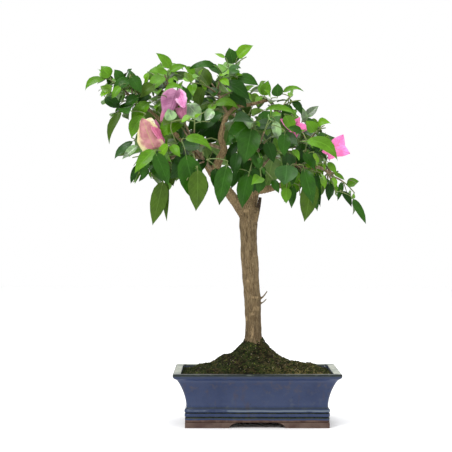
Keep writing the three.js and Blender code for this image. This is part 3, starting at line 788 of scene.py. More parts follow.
def grow_sprigs(name):
    """Short side twigs along each shoot of a mass, with small leaves."""
    growth = GROWTH[name]
    dice = Dice(MASSES[name]["seed"] + SPRIG_SEED)
    near = [other for other in MASSES if (HEARTS[other] - HEARTS[name]).length < NEIGHBOUR_WITHIN]
    taken = [leaf for other in near for leaf in GROWTH[other]["leaves"]]
    for shoot in growth["shoots"]:
        turn = dice.roll(0, 2 * math.pi)
        for k in range(SPRIGS):
            share = between(*SPRIG_ZONE, (k + dice.roll(0.2, 0.8)) / SPRIGS)
            root = place_on(stretches_of(shoot), share)
            outward = (root - CROWN_CORE).normalized()
            sprig = sprig_from(root, around(shoot, share), turn + k * GOLDEN_TURN, outward, name, dice)
            if sprig is None:
                continue
            grown = len(taken)
            for j in range(SPRIG_LEAVES + SPRIG_TIP_LEAVES):
                young = j >= SPRIG_LEAVES
                at = 0.99 if young else (j + 0.8) / (SPRIG_LEAVES + 0.5)
                angle = turn + j * (GOLDEN_TURN if young else math.pi) + dice.roll(-0.5, 0.5)
                size = (1, SPRIG_TIP_LENGTHS if young else SPRIG_LEAF_LENGTHS)
                leaf = rule_leaf(place_on(stretches_of(sprig, 2), at), around(sprig, at), angle,
                                 1.2 if young else 0.6, outward, 0.4, (0.5, 1.2), 0.6, size, dice)
                leaf.update(young=young, fine=True)
                if place_leaf(leaf, name, taken, [], FINE_MARGIN, FINE_APART):
                    growth["leaves"].append(taken[-1])
            if len(taken) > grown:
                sprigs.append((sprig, *SPRIG_RADII))


for name in MASSES:
    grow_sprigs(name)
ALL_LEAVES = [leaf for growth in GROWTH.values() for leaf in growth["leaves"] if "bract" not in leaf]
print("leaves in all:", len(ALL_LEAVES), "side sprigs:", len(sprigs))

# %% [markdown]
# Leaves turn their faces to the light. Those at the sides of the crown would stand edge-on to a
# viewer in front or behind, so each is turned about its own midrib, towards the nearer of the two.

# %% Faces turned to the light
FRONT = Vector((0, -1, 0))
BACK_FROM = 45
TURN_TO_LIGHT = (0.3, 1.0)
WIDTH_SPREAD = (0.88, 1.14)
turn_dice = np.random.default_rng(17)
for leaf in ALL_LEAVES:
    toward = FRONT if leaf["root"].y < BACK_FROM else -FRONT
    face = leaf["normal"] + toward * float(turn_dice.uniform(*TURN_TO_LIGHT))
    leaf.update(leaf_at(leaf["root"], leaf["along"], face, leaf["length"], leaf["arch"],
                        leaf["half_width"] * float(turn_dice.uniform(*WIDTH_SPREAD))))
print("leaves turned:", len(ALL_LEAVES))

# %% [markdown]
# Some leaves, the bracts and the crooked bough show clearly in the photograph. They are named here
# by their spots in the picture. A depth is then searched at which the foot of the leaf lies near a
# twig, and a short twig joins the two, so that it also hangs on something when seen from the side.

# %% Leaves that show clearly
# Tint, foot, tip, width in pixels, nearest and farthest depth, bow to the upper side in pixels.
NOTABLE = """
olive_leaf 197.5 166 199.5 210.5 20 -172 -140 0
middle_leaf 185 150 196 206 25 -160 -120 0
middle_leaf 228 161 221.5 205.5 18 -150 -100 1.5
deep_leaf 215 166 217.5 191 12 -138 -90 0
middle_leaf 250 170 241 208 17 -150 -100 1
middle_leaf 252 124.5 246 163.5 24 -150 -110 0
cool_leaf 287 163 286 185 24 -140 -100 0
middle_leaf 303 165 313.5 204.5 15 -134 -112 0
olive_leaf 311 177 308.5 222 19 -120 -70 0
deep_leaf 316.5 169 317.5 207 7 -110 -60 0
pale_gloss 139 144.5 121 157.5 8 -110 -50 0
middle_leaf 305 169 320.5 210 17 -110 -60 0
fresh_leaf 286.5 186 285.5 203 11 -110 -60 0
middle_leaf 292.5 183 292 208 9 -104 -60 0
olive_leaf 164 177 152 225 17 -100 -50 -0.5
olive_leaf 167 176 163 221 7 -92 -40 0
middle_leaf 154 150 170.5 184 16 -120 -70 0
fresh_leaf 157.6 147 135.5 174 13 -114 -70 2
fresh_leaf 152 101 130 124 14 -90 -30 3
olive_leaf 124 109 107 143 8.5 -70 0 4
deep_leaf 139 163 132 184 7 -50 10 1
cool_leaf 135 140 116 161 8 -60 0 3
leaf_underside 137 148 118 157.5 5 -50 0 0
fresh_leaf 212 106 239 109 9 -100 -50 6
pale_gloss 185 102.5 200 123 15 -120 -80 2
deep_leaf 217 112.6 193 127.5 20 -110 -60 0
deep_leaf 217 121 196 137 15 -44 20 0
deep_leaf 222 130 204 143 13 -44 20 0
young_leaf 236.5 59 253.5 46 12 -40 30 2
middle_leaf 233.5 65.5 230.5 47.5 15 -44 30 0
young_underside 226 58 215 53 4 -40 30 0
fresh_leaf 171 70.5 158 51.5 10 -50 30 1.5
fresh_leaf 169.6 74 151 71 7 -50 30 2
fresh_leaf 168.7 72 186 64.5 8 -50 30 1
fresh_leaf 111 78 101 66 13 -40 30 0
fresh_leaf 108 79 86.5 93 8 -40 30 6.5
middle_leaf 122 81 114 70 11 -40 30 0
middle_leaf 130 74.7 142 92 13 -60 0 0
middle_leaf 218 67 189.5 70 8 -60 0 4
middle_leaf 235 77 258.5 85 12 -60 0 2
deep_leaf 222 82 252 98.8 14 -80 -20 3
fresh_leaf 263.5 97 269 80.5 11 -60 0 0
fresh_leaf 281 94 303.5 90.5 5.5 -50 10 4.5
middle_leaf 277.5 98 276.5 83.5 12 -40 20 0
fresh_leaf 261 111 300 117.5 6.5 -90 -40 7
fresh_leaf 302 141 338.5 160 14 -96 -80 8
young_leaf 316.6 128 331 123 8 -50 0 4.5
middle_leaf 351.5 196.5 365 224.5 8 -30 20 1
deep_leaf 341 190 353 206 7 -36 20 1
fresh_leaf 345.5 184 359 182 10 -30 20 0
middle_leaf 285 131 282.4 156 13 -120 -80 0
pale_gloss 275 119 277.5 141 10 -124 -90 0
deep_leaf 228 92 246 108 12 -100 -40 2
deep_leaf 329.5 181 330.5 201 9 -60 0 0
deep_leaf 104 96 119.7 109 12 -40 20 0
fresh_leaf 316 133 307 120 13 -84 -50 0
deep_leaf 291 100 302 114.5 8 -70 -10 2
pale_gloss 305 118 318 105 9 -50 0 0
fresh_leaf 146 114 133 139 14 -80 -40 4
pale_gloss 172 121.5 168.5 108.5 13 -142 -134 0
fresh_leaf 161.5 95 184.5 92 6 -140 -130 8
middle_leaf 252 150 262 171 12 -120 -80 1
deep_leaf 266 140 272 163 13 -120 -70 1
deep_leaf 238 150 232 176 12 -130 -90 0
middle_leaf 303 151 314 170 11 -100 -60 1
middle_leaf 272 178 279 193 8 -90 -40 0
fresh_leaf 182 139 213 147 10 -120 -80 5
middle_leaf 146 155 143 179 10 -80 -30 0
fresh_leaf 140 160 135 184 8 -60 -10 0
fresh_leaf 327 161 337 173 7 -60 0 0
olive_leaf 156 84 141 98 13 -80 -40 2
middle_leaf 131 79 113 89 12 -70 -30 1
fresh_leaf 121 85 111 98 8 -70 -30 0
middle_leaf 140 97 124 104 11 -70 -30 1
deep_leaf 151 93 137 104 11 -76 -34 1
deep_leaf 209 122 222 112 12 -100 -70 1
middle_leaf 190 103 182.5 86 10 -70 -20 0
fresh_leaf 196 75 184 67 7 -60 0 1
middle_leaf 199 118 187 129 9 -60 0 0
deep_leaf 240 141 228 157 10 -40 20 0
deep_leaf 239 169 230.5 188 9 -110 -60 0
middle_leaf 342 180 339.5 201 6 -30 20 0
pale_gloss 306 123 302 107 7 -40 10 0
fresh_leaf 284 114 293 132 12 -84 -50 1
middle_leaf 303 133 288 128 8 -84 -50 1
middle_leaf 150 168 139 182 6 -60 -10 0
fresh_leaf 333 172 345 179 5 -40 20 0
pale_gloss 214 109 204 120 11 -124 -84 0
pale_gloss 187 104 181 84 8 -60 -10 0
deep_leaf 219 119 217 136 10 -20 50 0
deep_leaf 232 147 229 168 11 -60 40 0
deep_leaf 243 144 241 169 12 -90 20 0
deep_leaf 203 154 201 172 10 -60 40 0
deep_leaf 213 151 212 171 9 -30 50 0
deep_leaf 197 121 196 138 9 -60 30 0
"""
DEPTH_STEP = 5
DEPTH_COST = 0.25
TIP_FORWARD = 6
BLADE_REACH = 0.9
FACE_RISE = 0.3
LAYER = 9
OVERLAP_AT_MOST = 0.08
BLADE_SHARES = (0.1, 0.25, 0.4, 0.6, 0.8, 0.95)
BLADE_SIDES = (-0.7, 0, 0.7)
OUTER_SHARES = (0.15, 0.38, 0.65, 0.85)
OUTER_SIDES = (0.6, 1, 0.8, 0.4)
JOIN_OVER, JOIN_RISE, JOIN_RADII = 3, 0.15, (1.1, 0.75)

twig_lines = [(line, 12) for growth in GROWTH.values() for line in [growth["stem"], *growth["shoots"]]]
twig_lines += [(sprig, 4) for sprig, _, _ in sprigs]
twig_places = np.array([place for line, steps in twig_lines for place in stretches_of(line, steps)])
joins = []


def spot_near_twig(spot, nearest, farthest):
    """A place that shows at the spot, at a depth near a twig, and the twig's own place."""
    choices = []
    for depth in range(nearest, farthest, DEPTH_STEP):
        place = seen(*spot, depth)
        away = np.linalg.norm(twig_places - np.array(place), axis=1)
        choices.append((away.min() + DEPTH_COST * (depth - nearest), depth, int(away.argmin())))
    _, depth, twig = min(choices)
    return seen(*spot, depth), Vector(twig_places[twig])


def join(place, twig):
    """A short green twig that carries what is at the place."""
    far = (place - twig).length
    if far > JOIN_OVER:
        joins.append((Arc(twig, (place + twig) / 2 + UP * (far * JOIN_RISE), place), *JOIN_RADII))


def in_polygon(spots, polygon):
    """Which spots lie inside a polygon, by counting the edges to their right."""
    x, y = np.asarray(spots)[..., 0], np.asarray(spots)[..., 1]
    inside = np.zeros(x.shape, bool)
    for (x1, y1), (x2, y2) in zip(polygon, [*polygon[1:], polygon[0]]):
        if y1 != y2:
            inside ^= ((y1 > y) != (y2 > y)) & (x < (x2 - x1) * (y - y1) / (y2 - y1) + x1)
    return inside


def blade_spots(leaf):
    """Places all over the blade, as spots of the picture."""
    return in_picture([list(leaf_point(leaf, share, side)) for share in BLADE_SHARES for side in BLADE_SIDES])


def blade_outline(leaf):
    """The blade's outline, as spots of the picture."""
    left, right = ([leaf_point(leaf, share, sign * side) for share, side in zip(OUTER_SHARES, OUTER_SIDES)]
                   for sign in (1, -1))
    ring = [leaf["root"], *left, leaf_point(leaf, 1), *right[::-1]]
    return in_picture([list(place) for place in ring]).tolist()


def measured(leaf):
    """The leaf with its corners, its middle and how it shows in the picture."""
    leaf.update(corners=corners_of(leaf), middle=leaf_point(leaf, MIDDLE_SHARE))
    leaf.update(spots=blade_spots(leaf), outline=blade_outline(leaf))
    return leaf


def notable_leaf(foot, tip, width, tint, depths, bow, placed):
    """A leaf between two spots of the picture, hung on a near twig, and a layer behind those it meets."""
    nearest, farthest = depths
    while True:
        root, twig = spot_near_twig(foot, nearest, farthest)
        end = seen(*tip, root.y - TIP_FORWARD)
        scale = (root.y - EYE.y) / FOCAL_PIXELS
        chord = end - root
        length = chord.length / BLADE_REACH
        leaf = leaf_at(root, chord, FRONT + UP * FACE_RISE, length, 0.0, width * scale / 2 / length)
        aside = Vector((-chord.z, 0, chord.x)).normalized() * (1 if chord.x >= 0 else -1)
        leaf.update(bend=aside * (bow * scale), tint=tint)
        measured(leaf)
        meets = [other for other in placed if abs(other["middle"].y - leaf["middle"].y) < LAYER
                 and in_polygon(leaf["spots"], other["outline"]).mean() > OVERLAP_AT_MOST]
        if not meets:
            join(root, twig)
            return leaf
        nearest = int(max(other["middle"].y for other in meets)) + LAYER + DEPTH_STEP
        farthest = max(farthest, nearest + LAYER)


notable_leaves = []
for (tint,), (*spots, width, nearest, farthest, bow) in rows_of(NOTABLE):
    depths = int(nearest), int(farthest)
    notable_leaves.append(notable_leaf(spots[:2], spots[2:], width, tint, depths, bow, notable_leaves))
print("leaves placed by the photograph:", len(notable_leaves), "joined by twigs:", len(joins))

# %% [markdown]
# Rule leaves give way to them: a leaf that would hide one, or hide a bract or the crooked bough, is
# left out. A leaf that would reach past the crown's outline is made smaller, and left out if that
# isn't enough. The outline is rough on purpose, one corner for each notch or tip of the crown.

# %% Room for what shows
OUTLINE = places_of("""
85,92 89,80 98,67 104,63 114,69 127,68 137,72 143,76 148,72 154,67 157,51 166,55 172,63 182,65 190,67
204,62 214,63 214,51 221,52 228,46 238,48 243,43 255,45 252,54 241,61 240,69 252,79 260,83 267,78 272,83
284,83 305,87 294,94 300,100 303,107 317,103 319,111 313,119 330,118 331,125 321,130 339,136 344,132
350,153 339,161 336,169 341,177 350,179 359,180 352,189 358,199 367,223 357,214 346,200 333,194 331,203
327,187 321,189 321,208 314,211 309,224 303,211 299,198 294,194 292,208 286,204 278,199 279,190 262,192
252,198 241,209 234,197 227,192 221,206 215,192 208,189 200,211 190,192 182,186 173,184 169,191 164,221
150,225 151,206 155,178 146,177 141,190 137,186 131,184 134,172 134,158 126,153 114,162 119,147 129,142
132,141 132,128 129,112 118,120 106,143 103,135 106,123 113,113 102,104 99,92 96,85 90,85
""")
SHOWN_SKY = places_of("""
210,73 214,79 246,84 252,84 236,90 218,98 268,104 276,103 284,102.5 289,102 263,107.5 272,111.5 281,112
234,112.5 253,106 178,83 149,188 325,194 353,193 212,58 159,60 323,128 324,132 175.5,185 129,126 129,134
131,122 131,130 131,138 158,64 321,127 320,133 141,184 150.5,183
""")
SHOWN_WOOD = places_of("""
226,117 224,124 222,131 222.5,138 222.5,145 221,152 216,160 211,166 204,159 199,153 258,103 266,101 275,99
284,97
""")
SHOWN_WOOD_DEPTH = -50
SHOWN_BRACTS = places_of("""
164,95 166,103 172,100 170,91 180,97 184,99 183,112 163,118 141,130 147,138 152,142 149,122 156,128 160,140
157,135 341,140 345,146 346,152 340,155 326,151 328,157 337,143
""")
SHOWN_BRACT_DEPTH = -20
HIDES_AT_MOST = 0.1
OUTSIDE_AT_MOST = 0.12
SMALLER = (1, 0.82, 0.66)


def fits_outline(leaf):
    """The leaf, or a smaller one, that stays inside the outline, or nothing."""
    for factor in SMALLER:
        smaller = {**leaf, "length": leaf["length"] * factor}
        outside = (~in_polygon(blade_spots(smaller), OUTLINE)).mean() > OUTSIDE_AT_MOST
        if not outside and not in_polygon(SHOWN_SKY, blade_outline(smaller)).any():
            return smaller
    return None


def hides_something(leaf):
    """Whether a rule leaf stands before a notable leaf, the bough or a bract, or meets a notable leaf."""
    depth = leaf["middle"].y
    for other in notable_leaves:
        before = depth < other["middle"].y + LAYER
        if before and in_polygon(other["spots"], leaf["outline"]).mean() > HIDES_AT_MOST:
            return True
        if (other["middle"] - leaf["middle"]).length < other["length"] and leaves_cross(leaf, other):
            return True
    if depth < SHOWN_WOOD_DEPTH and in_polygon(SHOWN_WOOD, leaf["outline"]).any():
        return True
    return depth < SHOWN_BRACT_DEPTH and bool(in_polygon(SHOWN_BRACTS, leaf["outline"]).any())


kept = []
for leaf in ALL_LEAVES:
    leaf = fits_outline(leaf)
    if leaf is None or hides_something(measured(leaf)):
        continue
    near = [other for other in kept if (other["middle"] - leaf["middle"]).length < leaf["length"]]
    if not ("fine" in leaf and any(leaves_cross(leaf, other) for other in near)):
        kept.append(leaf)
print("rule leaves kept:", len(kept), "of", len(ALL_LEAVES))
ALL_LEAVES = kept + notable_leaves

# %% [markdown]
# The leaf finishes. A bougainvillea leaf is glossy and darkens with age, and its midrib and side
# veins show as slightly paler, sunken lines. Each tint is a plain colour dealt out by spray; the
# darker tints also carry painted shade, and the pale gloss a painted sheen. The veins are drawn
# from the leaf's own map, so they follow every leaf however it is turned.

# %% Leaf finishes
TINTS = {
    # colour, how strongly it mirrors the room, and how light its darker patches are
    # the deep and middle tints also serve as painted shade, in the crown's middle and low down
    "deep_leaf": ((0.01, 0.046, 0.002), 0.12, 0.8),
    "middle_leaf": ((0.018, 0.077, 0.002), 0.16, 0.75),
    "fresh_leaf": ((0.08, 0.212, 0.004), 0.2, 0.75),
    "olive_leaf": ((0.047, 0.098, 0.006), 0.16, 0.75),
    "cool_leaf": ((0.022, 0.088, 0.008), 0.3, 0.7),
    "young_leaf": ((0.115, 0.275, 0.005), 0.2, 0.8),
    # a pale tint with paler patches: a painted sheen for glossy leaves that catch the light
    "pale_gloss": ((0.19, 0.34, 0.115), 1.0, 0.25),
    "leaf_underside": ((0.1, 0.185, 0.035), 0.2, 0.8),
    "young_underside": ((0.165, 0.32, 0.035), 0.2, 0.8),
}


def leaf_finish(name, colour, gloss, dark_share):
    """A glossy leaf of one tint, with paler veins and a slightly puckered face."""
    leaf = Recipe(name, 0.33, Specular_IOR_Level=gloss)
    _, lines = veins(leaf, ribs=9, slope=4.2, midrib=(0.035, 0.008), sharpness=0.86, amount=0.4)
    pale = tuple(min(1, c * 1.6 + 0.015) for c in colour)
    dark = tuple(c * dark_share for c in colour)
    blotched = leaf.blend(leaf.noise(55, 3), 0.36, 0.62, dark, colour)
    leaf.relief(leaf.minus(leaf.times(leaf.noise(420, 2), 0.35), lines), 0.0003, 0.6)
    return leaf.coloured(leaf.layered(blotched, (lines, pale, 0.5)))


LEAF_FINISHES = [leaf_finish(name, *tint) for name, tint in TINTS.items()]
TINT_INDEX = {name: k for k, name in enumerate(TINTS)}
print("leaf finishes:", list(TINTS))

# %% [markdown]
# One leaf has a short stalk, a blade with a round base and a drawn-out tip, a fold along the
# midrib and a tip that curls under. It has a few dozen faces above and below, with a crisp rim.
# All leaves are worked out at once from arrays, because each one has its own length and bend.

# %% The shape of a leaf
STATIONS = np.array([0.09, 0.14, 0.24, 0.38, 0.54, 0.7, 0.84, 0.94])
WIDTHS = np.array([0.08, 0.52, 0.88, 1.0, 0.93, 0.68, 0.34, 0.1])
ACROSS = np.array([-1, -0.5, 0, 0.5, 1])
BLADE_THICKNESS = 0.3
FIRST_SHARE = 0.55
LEAF_VERTS = 2 + len(STATIONS) * (2 * len(ACROSS) - 2)


def leaf_places(leaves, dice):
    """The places of every leaf's vertices: root, tip, the top's grid, and the middle line below."""
    root, along, normal, across, bend = (np.array([list(leaf.get(key, (0, 0, 0))) for leaf in leaves])
                                         for key in ("root", "along", "normal", "across", "bend"))
    length, arch, half = (np.array([leaf[key] for leaf in leaves])[:, None]
                          for key in ("length", "arch", "half_width"))
    fold, curl, sweep, wave, phase = (dice.uniform(*limits, (len(leaves), 1)) for limits in (
        (0.12, 0.42), (0.02, 0.16), (-0.1, 0.1), (0.0, 0.05), (0, 6.28)))

    def place(share, side, width, below=0.0):
        reach = length * share * (1 - 0.1 * share * share)
        lift = -arch * share ** 2 - curl * share ** 3 + fold * abs(side) * width * half
        lift = lift + wave * abs(side) * np.sin(9 * share + phase + np.sign(side))
        aside = side * width * half * np.sqrt(1 - (0.6 * fold) ** 2) + sweep * share ** 2
        flat = root + along * reach + normal * (lift * length - below) + across * (aside * length)
        return flat + bend * (4 * share * (1 - share))

    grid = [place(s, a, w) for s, w in zip(STATIONS, WIDTHS) for a in ACROSS]
    under = [place(s, a, w, BLADE_THICKNESS) for s, w in zip(STATIONS, WIDTHS) for a in ACROSS[1:-1]]
    return np.stack([place(STATIONS[0] * FIRST_SHARE, 0, 0), place(1.0, 0, 0), *grid, *under], axis=1)


def leaf_faces():
    """One leaf's faces, top first. The two sides share the rim, the root and the tip."""
    columns, rows = len(ACROSS), len(STATIONS)

    def top(row, column):
        return 2 + row * columns + column

    def under(row, column):
        on_rim = column in (0, columns - 1)
        return top(row, column) if on_rim else 2 + rows * columns + row * (columns - 2) + column - 1

    faces = []
    for grid in (top, under):
        side = [[0, grid(0, c + 1), grid(0, c)] for c in range(columns - 1)]
        side += [[grid(r, c), grid(r, c + 1), grid(r + 1, c + 1), grid(r + 1, c)]
                 for r in range(rows - 1) for c in range(columns - 1)]
        side += [[grid(rows - 1, c), grid(rows - 1, c + 1), 1] for c in range(columns - 1)]
        faces += side if grid is top else [[face[0], *face[:0:-1]] for face in side]
    return faces


one_leaf = leaf_faces()
on_top = np.arange(len(one_leaf)) < len(one_leaf) // 2
print("faces of a leaf:", len(one_leaf))

# %% [markdown]
# Tints are dealt by how much light a leaf gets, as painted light and shade. Leaves round the
# crown's edge and high up get the fresh, light tints, those in its middle and low down the deep ones,
# and a seeded roll mixes them. The ones named above keep the tint that they show, shade included.

# %% The leaves
PALE_LONGEST = 55
CROWN_MIDDLE = (-45, 0, 516)
CROWN_HALF = (200, 260, 130)
LOW_SHARE = 0.5
LOWEST, CROWN_HEIGHT = 430, 240
HIGH_LIGHT, EDGE_LIGHT, EDGE_ZONE = 0.4, 0.7, (0.4, 1.1)
SHADED = 0.3
YOUNG_IN_SHADE, YOUNG_IN_LIGHT = 0.4, 0.5
COOL_FROM, PALE_FROM = 0.93, 0.965
FRESH_UP_TO, OLIVE_UP_TO, DEEP_FROM, LIGHT_ADDS = 0.04, 0.14, 0.5, 0.4


def tint_of(leaf, dice):
    """A leaf's tint, as painted light and shade: light round the crown's edge and high up, deep in its middle
    and low down.
    """
    roll = dice.random()
    if "tint" in leaf:
        return leaf["tint"]
    off = [(place - middle) / half for place, middle, half in zip(leaf["root"], CROWN_MIDDLE, CROWN_HALF)]
    out = math.hypot(off[0], off[1], off[2] if off[2] > 0 else off[2] * LOW_SHARE)
    high = (leaf["root"].z - LOWEST) / CROWN_HEIGHT
    lit = HIGH_LIGHT * high + EDGE_LIGHT * float(smooth_step(out, *EDGE_ZONE))
    if leaf.get("young"):
        if lit < SHADED:
            return "fresh_leaf" if roll < YOUNG_IN_SHADE else "middle_leaf"
        return "young_leaf" if roll < YOUNG_IN_LIGHT else "fresh_leaf"
    if roll > COOL_FROM:
        return "pale_gloss" if roll > PALE_FROM and leaf["length"] < PALE_LONGEST else "cool_leaf"
    if roll < FRESH_UP_TO + LIGHT_ADDS * lit:
        return "fresh_leaf"
    if roll < OLIVE_UP_TO + LIGHT_ADDS * lit:
        return "olive_leaf"
    return "deep_leaf" if roll > DEEP_FROM + LIGHT_ADDS * lit else "middle_leaf"


leaf_dice = np.random.default_rng(7)
leaf_grid = leaf_places(ALL_LEAVES, leaf_dice)
all_faces, face_finish = [], []
for k, tint in enumerate([tint_of(leaf, leaf_dice) for leaf in ALL_LEAVES]):
    all_faces += [[corner + k * LEAF_VERTS for corner in face] for face in one_leaf]
    under = TINT_INDEX["young_underside" if tint.startswith("young") else "leaf_underside"]
    face_finish.append(np.where(on_top, TINT_INDEX[tint], under))
side_of = np.concatenate([[0, 0], np.tile(ACROSS, len(STATIONS)), np.tile(ACROSS[1:-1], len(STATIONS))])
share_of = np.concatenate([[0, 1], np.repeat(STATIONS, len(ACROSS)), np.repeat(STATIONS, len(ACROSS) - 2)])
one_uv = np.stack([0.5 + side_of / 2, share_of], axis=1)
rim = abs(side_of) == 1
rim[:2] = True
FOLIAGE = [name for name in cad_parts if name.startswith("foliage_")]
show("leaves", leaf_grid, all_faces, LEAF_FINISHES, FOLIAGE, np.concatenate(face_finish),
     np.tile(one_uv, (len(ALL_LEAVES), 1)), np.tile(rim, len(ALL_LEAVES)))
print("leaves:", len(ALL_LEAVES))

# %% [markdown]
# Wood of the twigs. Leaf stalks, side sprigs, shoots and stems are all thin tubes that follow
# lines, which is work for Geometry Nodes: the lines are a mesh of edges with a thickness at every
# point, and the tree turns them into tubes. Green wood is young and brown wood is old.

# %% Twig finishes, and tubes along lines
def twig_finish(name, young, old, roughness):
    """Twig wood with fine lengthwise streaks."""
    twig = Recipe(name, roughness)
    streak = twig.noise(180, 3, stretch=(1, 1, 0.35))
    twig.relief(streak, 0.0004, 0.5)
    return twig.coloured(twig.blend(streak, 0.35, 0.65, young, old))


GREEN_WOOD = twig_finish("green_twig", (0.09, 0.155, 0.03), (0.16, 0.185, 0.055), 0.5)
BROWN_WOOD = twig_finish("brown_twig", (0.13, 0.088, 0.045), (0.27, 0.2, 0.11), 0.7)


def new_nodes(tree, *kinds):
    """One new node of each kind."""
    return [tree.nodes.new(kind) for kind in kinds]


def wire(tree, *pairs):
    """Wires each pair of an output and an input."""
    for output, entry in pairs:
        tree.links.new(output, entry)


def new_tree(name, **inputs):
    """A Geometry Nodes tree with named inputs, the outputs of its first node, and the identifiers."""
    tree = bpy.data.node_groups.new(name, "GeometryNodeTree")
    add = tree.interface.new_socket
    add("Geometry", in_out="INPUT", socket_type="NodeSocketGeometry")
    identifiers = {label: add(label, in_out="INPUT", socket_type="NodeSocket" + kind).identifier
                   for label, kind in inputs.items()}
    add("Geometry", in_out="OUTPUT", socket_type="NodeSocketGeometry")
    return tree, tree.nodes.new("NodeGroupInput").outputs, identifiers


def end_tree(tree, geometry, finish):
    """The end of a tree: instances become real and get their material."""
    realize, paint, end = new_nodes(
        tree, "GeometryNodeRealizeInstances", "GeometryNodeSetMaterial", "NodeGroupOutput")
    paint.inputs["Material"].default_value = finish
    wire(tree, (geometry, realize.inputs["Geometry"]),
         (realize.outputs["Geometry"], paint.inputs["Geometry"]),
         (paint.outputs["Geometry"], end.inputs["Geometry"]))


def tubes_tree(finish):
    """A node tree that turns edges into tubes whose radius is stored on their points."""
    tree, given, identifiers = new_tree("tubes_on_lines", Sides="Int")
    to_curve, thickness, circle, to_mesh = new_nodes(
        tree, "GeometryNodeMeshToCurve", "GeometryNodeInputNamedAttribute",
        "GeometryNodeCurvePrimitiveCircle", "GeometryNodeCurveToMesh")
    thickness.data_type = "FLOAT"
    thickness.inputs["Name"].default_value = "thickness"
    circle.inputs["Radius"].default_value = 1.0
    to_mesh.inputs["Fill Caps"].default_value = True
    wire(tree, (given["Geometry"], to_curve.inputs["Mesh"]),
         (given["Sides"], circle.inputs["Resolution"]),
         (to_curve.outputs["Curve"], to_mesh.inputs["Curve"]),
         (circle.outputs["Curve"], to_mesh.inputs["Profile Curve"]),
         (thickness.outputs["Attribute"], to_mesh.inputs["Scale"]))
    end_tree(tree, to_mesh.outputs["Mesh"], finish)
    return tree, identifiers


def plain_mesh(piece, keep_layers=True):
    """The plain mesh that its modifiers make of a piece. They are gone afterwards."""
    piece.update_tag()
    graph = bpy.context.evaluated_depsgraph_get()
    mesh = bpy.data.meshes.new_from_object(
        piece.evaluated_get(graph), preserve_all_data_layers=keep_layers, depsgraph=graph)
    piece.modifiers.clear()
    return mesh


def baked(piece, tree, identifiers, **values):
    """The plain mesh that a node tree makes of a piece with these values for its inputs."""
    modifier = piece.modifiers.new("grow", "NODES")
    modifier.node_group = tree
    for label, value in values.items():
        modifier[identifiers[label]] = value
    return plain_mesh(piece)


def tubes(name, lines, finish, sides, stands_for):
    """One piece of tapering tubes. A line is its places in millimetres and a radius for each."""
    places, radii, edges = [], [], []
    for spots, thickness in lines:
        start = len(places)
        places += [tuple(spot) for spot in spots]
        radii += list(thickness)
        edges += [(start + k, start + k + 1) for k in range(len(spots) - 1)]
    skeleton = bpy.data.meshes.new(name + "_lines")
    skeleton.from_pydata(in_metres(places).tolist(), edges, [])
    mark(skeleton, "thickness", "FLOAT", "POINT", np.array(radii, np.float32) * MM)
    piece = put(name, skeleton)
    piece.data = baked(piece, *tubes_tree(finish), Sides=sides)
    smooth(piece.data)
    settle(piece, stands_for)
    return piece


print("twig finishes:", GREEN_WOOD.name, BROWN_WOOD.name)

# %% [markdown]
# Twigs taper from the stem to the shoot's tip, brown at the foot and green further out. Three that
# show between the leaves follow the photograph. A sprig is left out if no leaf is left near its
# tip, and every leaf gets a stalk.

# %% Twigs, shoots and leaf stalks
STEM_RADII = (3.4, 2.4)
SHOOT_RADII = (1.7, 1.35, 1.0)
BROWN_UP_TO, GREEN_FROM = 0.45, 0.42
SHOWN_TWIG_RADII = (0.9, 1.3)
STALK_SHARES, STALK_RADII = (0, 0.05, 0.16), (0.75, 0.5, 0.3)
TRIM_STEPS, SHORTEST_PART = 20, 0.1
FOOT_WITHIN = 12
SHOWN_TWIGS = {
    # depths of both ends, and spots of the picture
    "under_faded_bract": ((-98, -54), "158,148 168,146.5 178,145.5 190,146.5 199,142 211,138 221,142"),
    "heart_leaf": ((-138, -92), "171.5,121.5 170.7,128 173,135 176.5,142.5 181,146"),
    "to_mauve_bract": ((-112, -86), "177,91 176,97 170,104 166,112 165,122"),
}


def tapering(line, radii, steps):
    """A line cut into stretches, with a radius at every place."""
    return stretches_of(line, steps), [between(*radii, k / steps) for k in range(steps + 1)]


def trimmed(line):
    """The part of a twig that shows inside the crown's outline."""
    inside = in_polygon(in_picture([list(place) for place in stretches_of(line, TRIM_STEPS)]), OUTLINE)
    gone = np.argmin(inside) / TRIM_STEPS if not inside.all() else 1
    return line.part(0, max(float(gone), SHORTEST_PART))


brown_lines, green_lines = [], []
for growth in GROWTH.values():
    brown_lines.append(tapering(growth["stem"], STEM_RADII, 8))
    for shoot in map(trimmed, growth["shoots"]):
        brown_lines.append(tapering(shoot.part(0, BROWN_UP_TO), SHOOT_RADII[:2], 5))
        green_lines.append(tapering(shoot.part(GREEN_FROM, 1), SHOOT_RADII[1:], 6))
for depths, text in SHOWN_TWIGS.values():
    spots = places_of(text)
    path = [seen(*spot, between(*depths, k / (len(spots) - 1))) for k, spot in enumerate(spots)]
    green_lines.append(tapering(line_through(path), SHOWN_TWIG_RADII, 12))
feet = np.array([list(leaf["root"]) for leaf in ALL_LEAVES])
for sprig, *radii in sprigs + joins:
    if np.linalg.norm(feet - np.array(sprig.point(1)), axis=1).min() < FOOT_WITHIN:
        green_lines.append(tapering(trimmed(sprig), radii, 4))
green_lines += [([leaf_point(leaf, share) for share in STALK_SHARES], STALK_RADII) for leaf in ALL_LEAVES]
brown_twigs = tubes("brown_twigs", brown_lines, BROWN_WOOD, 7, [])
green_twigs = tubes("green_twigs", green_lines, GREEN_WOOD, 5, [])
print("twig faces:", len(brown_twigs.data.polygons), len(green_twigs.data.polygons))

# %% [markdown]
# The bark of a bougainvillea is pale tan and wrinkled lengthwise. Trunk, boughs and their joints
# are one skin: rough tubes along every limb are melted together by a voxel remesh, which rounds
# the forks as wood does, and then every point is moved in or out by noise drawn out along its limb.

